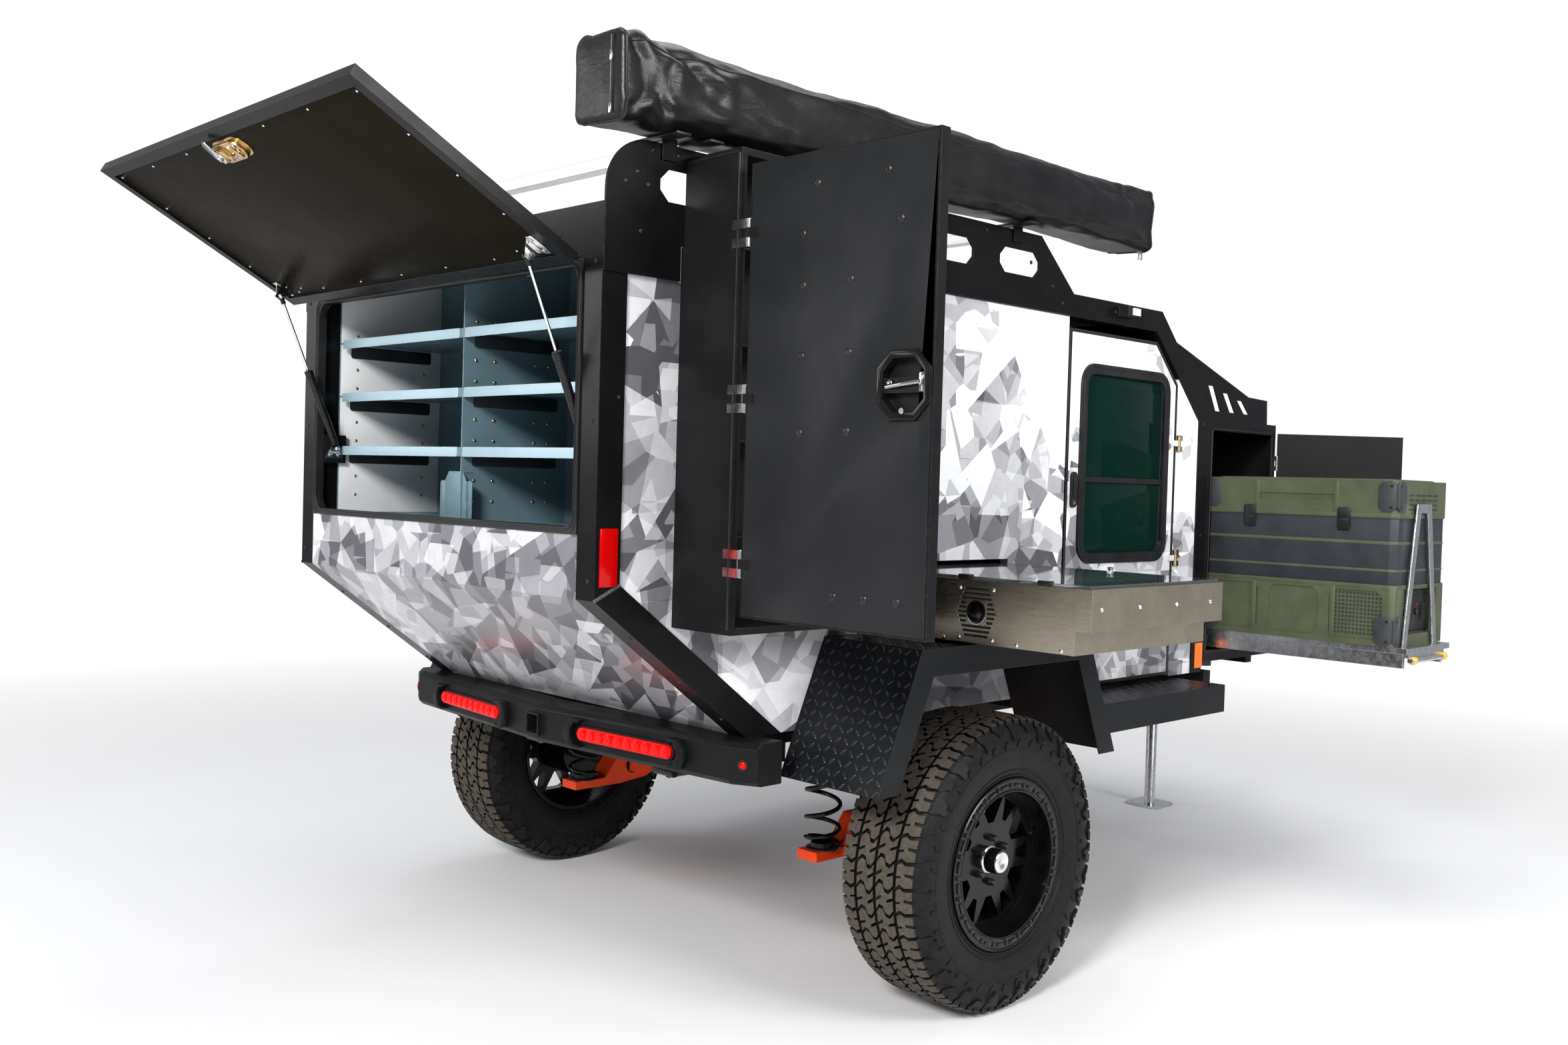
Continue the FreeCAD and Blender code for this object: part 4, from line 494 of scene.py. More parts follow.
# each look's two shades, then its other values in the order that its maker takes them
TABLES = {
    powder_coat: {
        "frame_black": ((0.0035, 0.0035, 0.0038), (0.0065, 0.0065, 0.007), (0.2, 0.3)),
        "panel_black": ((0.005, 0.005, 0.0055), (0.009, 0.009, 0.0095), (0.32, 0.44), 0.2),
        "bumper_black": ((0.004, 0.004, 0.0045), (0.0075, 0.0075, 0.008), (0.36, 0.48), 0.4),
        "plate_black": ((0.006, 0.0065, 0.0075), (0.011, 0.012, 0.0135), (0.3, 0.42), 0.2),
        # a lighter copy of plate_black for the raised lozenges: painted highlight on their tops
        "lozenge_black": ((0.012, 0.0125, 0.014), (0.02, 0.021, 0.023), (0.2, 0.3), 0.1, 0.4),
        "grey_skin": ((0.010, 0.0105, 0.0115), (0.015, 0.0155, 0.0165), (0.32, 0.42), 0.15),
        "hatch_lining": ((0.009, 0.0066, 0.0036), (0.013, 0.0100, 0.006), (0.24, 0.32), 0.03, 0.02),
        "white_panel": ((0.70, 0.70, 0.71), (0.78, 0.78, 0.785), (0.3, 0.4), 0.05),
        "shelf_blue": ((0.105, 0.165, 0.19), (0.135, 0.205, 0.235), (0.26, 0.36), 0.08),
        "shelf_pale": ((0.30, 0.42, 0.47), (0.36, 0.48, 0.53), (0.3, 0.4), 0.06),
        "orange": ((0.75, 0.045, 0.008), (0.86, 0.075, 0.015), (0.22, 0.32), 0.06),
    },
    moulding: {
        "rubber": ((0.008, 0.008, 0.008), (0.015, 0.015, 0.015), (0.3, 0.45)),
        "black_plastic": ((0.007, 0.007, 0.0075), (0.014, 0.014, 0.015), (0.3, 0.42), 700.0, 0.15),
        "olive": ((0.058, 0.070, 0.036), (0.080, 0.092, 0.050), (0.42, 0.55), 800.0, 0.2),
        "slate": ((0.018, 0.022, 0.027), (0.028, 0.032, 0.038), (0.4, 0.5), 700.0, 0.15),
        "corner_grey": ((0.028, 0.03, 0.033), (0.045, 0.048, 0.052), (0.4, 0.55), 600.0, 0.3),
        "cloth_edge": ((0.008, 0.008, 0.009), (0.016, 0.016, 0.018), (0.4, 0.55), 500.0, 0.4),
        "yellow": ((0.75, 0.42, 0.02), (0.85, 0.52, 0.04), (0.35, 0.45)),
    },
    smooth_metal: {
        "zinc": ((0.48, 0.49, 0.50), (0.68, 0.69, 0.70), (0.2, 0.34)),
        "bright_zinc": ((0.62, 0.63, 0.64), (0.8, 0.8, 0.8), (0.12, 0.22)),
        "gold_zinc": ((0.55, 0.36, 0.14), (0.75, 0.55, 0.28), (0.2, 0.3)),
        "brass": ((0.36, 0.24, 0.10), (0.62, 0.44, 0.2), (0.28, 0.42)),
        "chrome": ((0.72, 0.72, 0.73), (0.85, 0.85, 0.86), (0.06, 0.12)),
        # a darker copy of chrome for the pantry lever: painted shade that dims its reflections
        "lever_chrome": ((0.34, 0.34, 0.35), (0.46, 0.46, 0.47), (0.08, 0.16)),
        "dark_steel": ((0.02, 0.02, 0.021), (0.04, 0.04, 0.042), (0.3, 0.45), 30.0, 0.6),
        "weld": ((0.05, 0.05, 0.052), (0.12, 0.12, 0.125), (0.25, 0.4), 30.0, 0.5),
        "strut_black": ((0.006, 0.006, 0.007), (0.012, 0.012, 0.013), (0.15, 0.25), 30.0, 0.2),
        "alloy_black": ((0.002, 0.002, 0.0022), (0.004, 0.004, 0.0044), (0.12, 0.22), 14.0, 0.0),
    },
    brushed: {
        "aluminium": ((0.42, 0.42, 0.43), (0.66, 0.66, 0.67)),
        "stainless": ((0.44, 0.385, 0.30), (0.53, 0.47, 0.375), (0.24, 0.32), 0.02),
    },
    pane: {
        "window": ((0.001, 0.012, 0.009), (0.0015, 0.016, 0.012), 0.0, 0.0, 0.1),
        "glass": ((0.5, 0.56, 0.56), (0.6, 0.66, 0.66), 0.92),
    },
    lens: {
        "red_lens": ((0.40, 0.0006, 0.0006), (0.60, 0.001, 0.001), 0.12, 0.04),
        "red_led": ((0.75, 0.001, 0.001), (0.95, 0.004, 0.002), 0.7, 0.04),
        "amber_lens": ((0.75, 0.12, 0.005), (0.95, 0.26, 0.02), 0.2),
        "warm_lens": ((0.8, 0.55, 0.25), (0.95, 0.75, 0.45), 1.2),
        "reflector": ((0.85, 0.85, 0.85), (0.98, 0.98, 0.98), 0.15),
    },
}
LOOKS = {name: maker(name, *values) for maker, table in TABLES.items() for name, values in table.items()}
LOOKS.update({"facet_print": facet_print("facet_print"), "hatch_print": facet_print("hatch_print", "top"),
              "cloth": coated_cloth("cloth"), "tread": tread_rubber("tread")})


# Camera, floor and lights

IMAGE = (2352, 1568)
# focal length and optical centre in pixels of the photo
FOCAL, CENTRE = 2102.26, (1232.83, 773.38)
EYE = Vector((3.4887, -3.1325, 1.4624))
HEADING, DOWN, ROLL = (math.radians(value) for value in (44.8628, 1.3877, 1.7014))
SENSOR, FLOOR_REACH = 36.0, 60


def make_camera():
    data = bpy.data.cameras.new("view")
    data.sensor_width = SENSOR
    data.lens = FOCAL / IMAGE[0] * SENSOR
    data.shift_x = (IMAGE[0] / 2 - CENTRE[0]) / IMAGE[0]
    data.shift_y = (CENTRE[1] - IMAGE[1] / 2) / IMAGE[0]
    data.clip_end = 200
    ahead = Vector((-math.sin(HEADING) * math.cos(DOWN), math.cos(HEADING) * math.cos(DOWN),
                    -math.sin(DOWN)))
    level = Vector((math.cos(HEADING), math.sin(HEADING), 0))
    over = level.cross(ahead)
    right = level * math.cos(ROLL) + over * math.sin(ROLL)
    up = over * math.cos(ROLL) - level * math.sin(ROLL)
    camera = bpy.data.objects.new("view", data)
    rotation = Matrix((right, up, -ahead)).transposed().to_4x4()
    camera.matrix_world = Matrix.Translation(EYE + ORIGIN) @ rotation
    bpy.context.scene.collection.objects.link(camera)
    bpy.context.scene.camera = camera


def make_light(name, spot, target, size, power):
    data = bpy.data.lights.new(name, "AREA")
    data.shape = "RECTANGLE"
    data.size, data.size_y = size
    data.energy = power
    light = bpy.data.objects.new(name, data)
    turned = (Vector(target) - Vector(spot)).to_track_quat("-Z", "Y").to_matrix().to_4x4()
    light.matrix_world = Matrix.Translation(Vector(spot) + ORIGIN) @ turned
    bpy.context.scene.collection.objects.link(light)


def make_world():
    """White where the camera looks straight at it and a dimmer grey as a source of light."""
    world = bpy.data.worlds.new("studio")
    world.use_nodes = True
    tree = world.node_tree
    seen = tree.nodes["Background"]
    seen.inputs["Color"].default_value = (1, 1, 1, 1)
    shone = tree.nodes.new("ShaderNodeBackground")
    shone.inputs["Color"].default_value = (0.93, 0.95, 1.0, 1)
    shone.inputs["Strength"].default_value = 0.42
    path, mixed = tree.nodes.new("ShaderNodeLightPath"), tree.nodes.new("ShaderNodeMixShader")
    tree.links.new(path.outputs["Is Camera Ray"], mixed.inputs["Fac"])
    tree.links.new(shone.outputs[0], mixed.inputs[1])
    tree.links.new(seen.outputs[0], mixed.inputs[2])
    tree.links.new(mixed.outputs[0], tree.nodes["World Output"].inputs["Surface"])
    bpy.context.scene.world = world


def make_floor():
    """A pale floor that fades into the white behind it."""
    look = Look("floor_pale", Roughness=0.85)
    look.tint((0.80, 0.80, 0.80), (0.83, 0.83, 0.83), 0.8)
    look.bump(look.noise(60.0, 3.0), 0.03, 0.001)
    away = look.make("ShaderNodeVectorMath", {0: look.place}, operation="LENGTH")
    seen = look.make("ShaderNodeLightPath").outputs["Is Camera Ray"]
    share = look.sum("MULTIPLY", look.span(away.outputs["Value"], 2.6, 7.0), seen)
    glow = look.make("ShaderNodeEmission", {"Color": (1, 1, 1), "Strength": 1.0})
    mixed = look.make("ShaderNodeMixShader", {"Fac": share, 1: look.shader.outputs[0],
                                              2: glow.outputs[0]})
    look.tree.links.new(mixed.outputs[0], look.tree.nodes["Material Output"].inputs["Surface"])
    corners = [(x * FLOOR_REACH, y * FLOOR_REACH, 0) for x, y in ((-1, -1), (1, -1), (1, 1), (-1, 1))]
    mesh = bpy.data.meshes.new("floor")
    mesh.from_pydata(corners, [], [(0, 1, 2, 3)])
    mesh.materials.append(look.material)
    floor = bpy.data.objects.new("floor", mesh)
    floor.location = (ORIGIN.x, ORIGIN.y, ORIGIN.z - 0.001)
    bpy.context.scene.collection.objects.link(floor)


def make_stage():
    bpy.context.scene.view_settings.view_transform = "Standard"
    make_world()
    make_floor()
    make_light("key", (3.4, -6.6, 4.6), (0, -0.6, 1.2), (1.6, 1.6), 620)
    make_light("side", (6.5, 0.5, 3.6), (0, 0.6, 1.1), (3.0, 2.0), 300)
    make_light("fill", (-5.0, -5.0, 3.0), (0, -0.5, 1.2), (3.5, 2.5), 90)
    make_light("top", (0.4, 0.6, 6.0), (0, 0.4, 1.0), (4.0, 4.0), 150)


make_camera()
make_stage()

# CAD nodes under each look; a weld and a small bevel ease their edges

NODE_LOOKS = {
    "alloy_black": "rim_left rim_right",
    "aluminium": "rack_bars",
    "amber_lens": "amber_lamps",
    "black_plastic": "entry_window_left entry_window_right flood_lamps",
    "bright_zinc": "fixed_hinges shocks strut_rod_left strut_rod_right",
    "bumper_black": "chassis_frame rear_bumper",
    "cloth": "awning_bag",
    "dark_steel": "coupler stabiliser_left stabiliser_right stub_axles",
    "facet_print": "entry_door_left entry_door_right rear_panels side_panels",
    "frame_black": "awning_brackets body_frame hatch nose_gussets rack_plates",
    "glass": "kitchen_lid",
    "olive": "fridge",
    "orange": "trailing_arms",
    "panel_black": "chassis_brackets floor_panel front_slope_panel front_wall jack_tube nose_box "
                   "nose_door_left nose_door_right pantry_cabinet pantry_door",
    "plate_black": "fenders steps",
    "red_lens": "red_lamps",
    "rubber": "hatch_seal",
    "shelf_blue": "galley_unit",
    "stainless": "kitchen_tray",
    "strut_black": "coil_springs strut_cylinder_left strut_cylinder_right",
    "tread": "tyre_left tyre_right",
    "white_panel": "roof_panel",
    "zinc": "fridge_tray jack_leg safety_chains slide_rails",
}
EASE, EASED_MORE = 0.0012, {"rear_bumper": 0.003, "fenders": 0.002}


def dress_nodes():
    for look, names in NODE_LOOKS.items():
        for name in names.split():
            thing = NODES[name]
            thing.data.materials.clear()
            thing.data.materials.append(LOOKS[look])
            if name.startswith("tyre"):
                continue
            weld = thing.modifiers.new("join", "WELD")
            weld.merge_threshold = 0.00002
            bevel = thing.modifiers.new("ease", "BEVEL")
            bevel.width = EASED_MORE.get(name, EASE)
            bevel.segments = 2
            bevel.limit_method = "ANGLE"
            bevel.angle_limit = math.radians(40)
            bevel.harden_normals = True


dress_nodes()

# Tyres

TRACK = JOINTS["wheel_right_spin"]["pos_m"][0]
TYRE_LOW, TYRE_HIGH = limits("tyre_right")
TYRE_RADIUS = AXLE_Z = (TYRE_HIGH.z - TYRE_LOW.z) / 2
TREAD_DEEP, TREAD_HALF, TYRE_STEPS = 0.011, 0.124, 144
PITCHES = 38
PITCH = math.tau / PITCHES
# the tread's two halves are out of step by this many pitches
OUT_OF_STEP = 0.45
# how far out from the middle the carcass stands at each radius, from bead to shoulder
WALL = [(0.228, 0.108), (0.240, 0.121), (0.262, 0.129), (0.300, 0.1365), (0.335, 0.1385), (0.362, 0.1355),
        (0.382, 0.129), (0.394, 0.119), (0.3985, 0.106)]
# rings on the sidewall: radius and how far they stand out
RIDGES = ((0.322, 0.0016), (0.262, 0.0022), (0.247, 0.0028))
# (share of the outline, height over the groove, wear) of a tread block from its foot up
BLOCK_LEVELS = ((1.03, -0.0035, 0.0), (1.0, 0.0088, 0.05), (0.99, 0.0104, 0.75), (0.965, TREAD_DEEP, 1.0))


def wall_out(radius):
    """The carcass's half width at a radius."""
    for (r0, u0), (r1, u1) in zip(WALL, WALL[1:]):
        if radius <= r1:
            return u0 + (u1 - u0) * (radius - r0) / (r1 - r0)
    return WALL[-1][1]


def crown(u):
    """The tread's radius at a distance from its middle."""
    share = abs(u) / TREAD_HALF
    return TYRE_RADIUS - 0.0035 * share ** 2 - 0.12 * max(0.0, share - 0.8) ** 2


def on_wheel(u, angle, radius):
    return Vector((TRACK + u, radius * math.cos(angle), AXLE_Z + radius * math.sin(angle)))


class Tyre:
    """Tread blocks and sidewall lugs over a turned carcass, with a wear value for each corner."""

    def __init__(self):
        self.corners, self.faces, self.wear = [], [], []

    def ring(self, corners, wear=0.0):
        """Adds a ring of corners and gives the number of its first."""
        self.corners += corners
        self.wear += [wear] * len(corners)
        return len(self.corners) - len(corners)

    def raised(self, points, levels, place, way=1):
        """A block over an outline: each level gives a share of the outline, a height and a wear."""
        mid_a, mid_b = (sum(part) / len(points) for part in zip(*points))
        starts = []
        for spread, rise, wear in levels:
            ring = [place(mid_a + (a - mid_a) * spread, mid_b + (b - mid_b) * spread, rise)
                    for a, b in points]
            starts.append(self.ring(ring[::way], wear))
        for first, second in zip(starts, starts[1:]):
            self.faces += band(first, second, len(points))
        self.faces.append([starts[-1] + index for index in range(len(points))])

    def tread_block(self, points, turn):
        """A block whose outline is (distance across, pitches round)."""
        self.raised(points, BLOCK_LEVELS, lambda across, t, rise: on_wheel(
            across, (turn + t) * PITCH, crown(across) - TREAD_DEEP + rise))

    def wall_lug(self, points, turn, proud, side):
        """A raised lug on the sidewall, its outline (radius, pitches round)."""
        levels = ((1.06, -0.003, 0.0), (1.0, proud * 0.75, 0.0), (0.9, proud, 0.0))
        self.raised(points, levels, lambda away, t, rise: on_wheel(
            side * (wall_out(min(away, WALL[-1][0])) + rise), (turn + t) * PITCH, away), side)

    def turned(self, profile):
        """Rings of corners about the axle, one for each (distance across, radius)."""
        return [self.ring([on_wheel(u, math.tau * index / TYRE_STEPS, radius)
                           for index in range(TYRE_STEPS)])
                for u, radius in profile]


GROOVE = 0.15
INNER_EDGE = [(0.0050, 0.22), (0.016, 0.00), (0.029, 0.03), (0.036, 0.30), (0.050, 0.36), (0.0645, 0.14)]
SHOULDER_EDGE = [(0.0745, 0.14), (0.088, 0.02), (0.103, 0.12), (0.1245, 0.06)]
INNER_NOTCH = [(0.0645, 0.46), (0.044, 0.60), (0.042, 0.72), (0.0645, 0.60)]
INNER_CUT = [(0.0050, 0.76), (0.026, 0.56), (0.024, 0.44), (0.0050, 0.62)]
SHOULDER_NOTCH = [(0.1245, 0.40), (0.102, 0.40), (0.102, 0.52), (0.1245, 0.55)]
SHOULDER_CUT = [(0.0745, 0.66), (0.090, 0.60), (0.090, 0.52), (0.0745, 0.56)]
LONG_LUG = [(0.407, 0.08), (0.407, 0.88), (0.388, 0.92), (0.376, 0.80), (0.352, 0.74), (0.346, 0.56),
            (0.360, 0.42), (0.358, 0.24), (0.374, 0.14)]
SHORT_LUG = [(0.407, 0.08), (0.407, 0.88), (0.390, 0.92), (0.380, 0.70), (0.370, 0.62), (0.372, 0.34),
             (0.386, 0.12)]
FLANK_BAR = [(0.350, 0.10), (0.344, 0.30), (0.330, 0.34), (0.332, 0.16)]


def tread_outline(edge, outer_notch, inner_cut):
    """A block between one zigzag groove and the next, with a slot in each side."""
    far = [(u, t + 1 - GROOVE) for u, t in edge[::-1]]
    return edge + outer_notch + far + inner_cut


def make_tyre(side, node):
    tyre = Tyre()
    outline = [(u, r) for r, u in WALL]
    outline += [(u, crown(u) - TREAD_DEEP) for u in (0.08, 0.04, 0.0, -0.04, -0.08)]
    outline += [(-u, r) for r, u in WALL[::-1]]
    outline += [(-0.09, 0.231), (0.09, 0.231)]
    rings = tyre.turned(outline)
    for first, second in zip(rings, rings[1:] + rings[:1]):
        tyre.faces += band(first, second, TYRE_STEPS)
    blocks = (tread_outline(INNER_EDGE, INNER_NOTCH, INNER_CUT),
              tread_outline(SHOULDER_EDGE, SHOULDER_NOTCH, SHOULDER_CUT))
    for turn in range(PITCHES):
        for points in blocks:
            tyre.tread_block(points, turn)
            tyre.tread_block([(-u, 1 - t) for u, t in points], turn + OUT_OF_STEP)
        lug = LONG_LUG if turn % 2 else SHORT_LUG
        for proud, points in ((0.0085, lug), (0.0035, FLANK_BAR)):
            tyre.wall_lug(points, turn, proud, 1)
            tyre.wall_lug([(r, 1 - t) for r, t in points], turn + OUT_OF_STEP, proud, -1)
    for radius, proud in RIDGES:
        section = ((-0.004, -0.001), (-0.002, proud), (0.002, proud), (0.004, -0.001))
        for way in (1, -1):
            rings = tyre.turned([(way * (wall_out(radius + step) + rise), radius + step)
                                 for step, rise in section])
            for first, second in zip(rings, rings[1:]):
                tyre.faces += [face[::way] for face in band(first, second, TYRE_STEPS)]
    mesh = bpy.data.meshes.new(node + "_tread")
    corners = [Vector((c.x * side, c.y, c.z)) + ORIGIN for c in tyre.corners]
    mesh.from_pydata(corners, [], [face[::side] for face in tyre.faces])
    wear = mesh.attributes.new("wear", "FLOAT", "POINT")
    wear.data.foreach_set("value", tyre.wear)
    bm = bmesh.new()
    bm.from_mesh(mesh)
    bmesh.ops.recalc_face_normals(bm, faces=bm.faces)
    bm.to_mesh(mesh)
    bm.free()
    mesh.shade_smooth()
    mesh.set_sharp_from_angle(angle=math.radians(32))
    mesh.materials.append(LOOKS["tread"])
    thing = bpy.data.objects.new(node + "_tread", mesh)
    bpy.context.scene.collection.objects.link(thing)
    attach(thing, node.replace("tyre", "wheel"))
    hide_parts(node)


for side, node in ((1, "tyre_right"), (-1, "tyre_left")):
    make_tyre(side, node)

# Measures and helpers that many pieces share

BODY_LOW, BODY_HIGH = limits("body_frame")
HALF, REAR = BODY_HIGH.x, BODY_LOW.y
TUBE, KNEE = 0.075, 1.161
HANDS = (("right", Matrix.Identity(4)), ("left", Matrix.Diagonal((-1, 1, 1, 1))))


def place(joint):
    return Vector(JOINTS[joint]["pos_m"]) - ORIGIN


def row(start, end, count):
    """Evenly spaced values from start to end."""
    return [start + (end - start) * index / (count - 1) for index in range(count)]


def bolts(name, look, spots, way, radius=0.006, height=0.003, body="trailer", both=False, shape=None):
    """Heads of one kind at many spots, all pointing one way."""
    piece = Piece(name, look, body).add(shape or dome(radius, height),
                                        *[facing(way, spot) for spot in spots])
    return piece.done(both=both)


def plate(u, v, radius, span, normal="y", ease=0.001, steps=6):
    """A flat plate with rounded corners."""
    return prism(round_rect(u, v, radius, steps), span, normal, ease)


def cut_rect(u, v, cut):
    (u0, u1), (v0, v1) = u, v
    return [(u0 + cut, v0), (u1 - cut, v0), (u1, v0 + cut), (u1, v1 - cut),
            (u1 - cut, v1), (u0 + cut, v1), (u0, v1 - cut), (u0, v0 + cut)]


def cut_plate(u, v, cut, span, normal="y", ease=0.001):
    """A flat plate with cut corners."""
    return prism(cut_rect(u, v, cut), span, normal, ease)


def bead(points, level, radius, normal="x", sides=8):
    """A round bead along a closed outline in one plane."""
    line = [Vector((level, u, v)) if normal == "x" else Vector((u, level, v)) for u, v in points]
    return pipe(line, radius, sides, closed=True)


def shrink(points, by):
    """A convex outline drawn in by a distance, or out where it is negative."""
    count, area = len(points), 0.0
    for (u0, v0), (u1, v1) in zip(points, points[1:] + points[:1]):
        area += u0 * v1 - u1 * v0
    way = 1 if area > 0 else -1
    lines = []
    for (u0, v0), (u1, v1) in zip(points, points[1:] + points[:1]):
        run = Vector((u1 - u0, v1 - v0)).normalized()
        lines.append((Vector((u0, v0)) + Vector((-run.y, run.x)) * way * by, run))
    moved = []
    for index in range(count):
        (p, r), (q, s) = lines[index - 1], lines[index]
        cross = r.x * s.y - r.y * s.x
        share = ((q.x - p.x) * s.y - (q.y - p.y) * s.x) / cross
        moved.append((p.x + r.x * share, p.y + r.y * share))
    return moved


def hinge_skin(name, look, joint, starts, long, radius, moving, mirror=HANDS[0][1]):
    """Round knuckles over a CAD hinge: two on the fixed body and the middle one on the leaf."""
    third, gap, axis = long / 3, 0.0006, place(joint)
    outer, middle = Piece(name + "_outer", look), Piece(name + "_middle", look, moving)
    knuckle, end = rounded_rod(radius, gap, third - gap, 0.0008, 20), dome(radius * 0.6, 0.002)
    for start in starts:
        for piece, shape, rise in ((outer, knuckle, 0), (outer, knuckle, third * 2),
                                   (outer, end, long), (middle, knuckle, third)):
            piece.add(shape, mirror @ Matrix.Translation((axis.x, axis.y, start + rise)))
    outer.done()
    middle.done()


# Hatch: drawn shut, then turned up about its hinge as the CAD stands

HINGE, OPENED = place("hatch_lift"), math.radians(-119)
HATCH = Matrix.Translation(HINGE) @ Matrix.Rotation(OPENED, 4, "X") @ Matrix.Translation(-HINGE)
HATCH_HALF, HATCH_LOW, HATCH_TOP = 0.740, 1.330, 1.975
DISH_Y, RIM_Y, SKIN_Y = -1.176, -1.170, -1.198
LINING_U, LINING_V = (-0.7065, 0.7065), (HATCH_LOW + 0.0335, HATCH_TOP - 0.0335)
LINING = [(LINING_U[0], LINING_V[0]), (LINING_U[1], LINING_V[0]),
          (LINING_U[1], LINING_V[1]), (LINING_U[0], LINING_V[1])]
EAR = Vector((0.660, -1.145, 1.901))


def on_hatch(name, look):
    return Piece(name, look, "hatch", HATCH)


def dress_hatch():
    on_hatch("hatch_lining", "hatch_lining").add(
        prism(LINING, (DISH_Y - 0.0002, DISH_Y + 0.0012), "y", 0.0005)).done()
    printed = [(u * 1.012, v) for u, v in shrink(LINING, -0.012)]
    on_hatch("hatch_skin", "hatch_print").add(
        prism(printed, (SKIN_Y - 0.0012, SKIN_Y + 0.001), "y", 0.0005)).done()
    low, top = HATCH_LOW + 0.047, HATCH_TOP - 0.047
    spots = [(x, z) for x in row(-0.69, 0.69, 7) for z in (low, top)]
    spots += [(x, z) for x in (-0.69, 0.69) for z in row(low, top, 5)[1:-1]]
    spots += [(x * side, HATCH_TOP - z) for side in (1, -1)
              for x, z in ((0.58, 0.062), (0.62, 0.047), (0.655, 0.075))]
    on_hatch("hatch_rivets", "bright_zinc").add(
        dome(0.0036, 0.0018, 10, 2), *[facing(Y, (x, DISH_Y + 0.0011, z)) for x, z in spots]).done()
    rim = round_rect((-HATCH_HALF + 0.004, HATCH_HALF - 0.004), (HATCH_LOW + 0.004, HATCH_TOP - 0.004),
                     0.006, 3)
    on_hatch("hatch_edge_bead", "frame_black").add(bead(rim, RIM_Y - 0.0035, 0.0032, "y")).done()


def dress_latch():
    gold = on_hatch("latch_plate", "gold_zinc")
    gold.add(plate((-0.078, 0.078), (1.372, 1.438), 0.032, (DISH_Y + 0.001, DISH_Y + 0.0032), ease=0.0008,
                   steps=8))
    gold.add(plate((-0.0665, 0.0665), (1.3755, 1.4345), 0.026, (DISH_Y + 0.002, -1.1585), ease=0.003,
                   steps=8))
    for x in (-0.048, -0.004, 0.050):
        gold.add(block((x - 0.006, x + 0.006), (-1.159, -1.149), (1.386, 1.424), 0.002))
    gold.add(rounded_rod(0.021, 0, 0.012, 0.002, 20), facing(Y, (-0.026, -1.159, 1.401))).done()
    steel = on_hatch("latch_cam", "bright_zinc")
    steel.add(rounded_rod(0.017, 0, 0.004, 0.001, 24), facing(Y, (-0.026, -1.1475, 1.401)))
    steel.add(hexagon(0.008, 0.006), facing(Y, (-0.026, -1.1438, 1.401)))
    tilt = Matrix.Translation((-0.034, -1.146, 1.392)) @ Matrix.Rotation(math.radians(24), 4, "Y")
    steel.add(plate((-0.017, 0.017), (-0.044, 0.004), 0.008, (0, 0.0025), ease=0.0008, steps=5),
              tilt @ Matrix.Rotation(math.radians(-14), 4, "X"))
    steel.add(pipe([(0.0, -1.155, 1.412), (0.022, -1.149, 1.416), (0.046, -1.153, 1.408),
                    (0.064, -1.157, 1.404)], 0.0032, 8))
    steel.add(hexagon(0.006, 0.005), *[
        facing(Y, (x, -1.1588, z)) for x, z in ((0.028, 1.39), (0.058, 1.39), (0.03, 1.424))]).done()
    on_hatch("hatch_handle", "black_plastic").add(
        plate((-0.07, 0.07), (1.372, 1.438), 0.024, (SKIN_Y - 0.007, SKIN_Y + 0.001), ease=0.003)).done()
    paddle = on_hatch("hatch_paddle", "bright_zinc")
    paddle.add(plate((-0.045, 0.045), (1.385, 1.425), 0.012, (SKIN_Y - 0.0095, SKIN_Y - 0.006),
                     ease=0.0012))
    paddle.add(rounded_rod(0.006, 0, 0.004, 0.001, 16), facing(-Y, (0.03, SKIN_Y - 0.009, 1.405))).done()


def sleeve(inner, outer, low, high):
    """A hollow tube along z with eased outer edges."""
    return lathe([(inner, low), (outer - 0.0005, low), (outer, low + 0.0015), (outer, high - 0.0015),
                  (outer - 0.0015, high), (inner, high)], 28, closed=True)


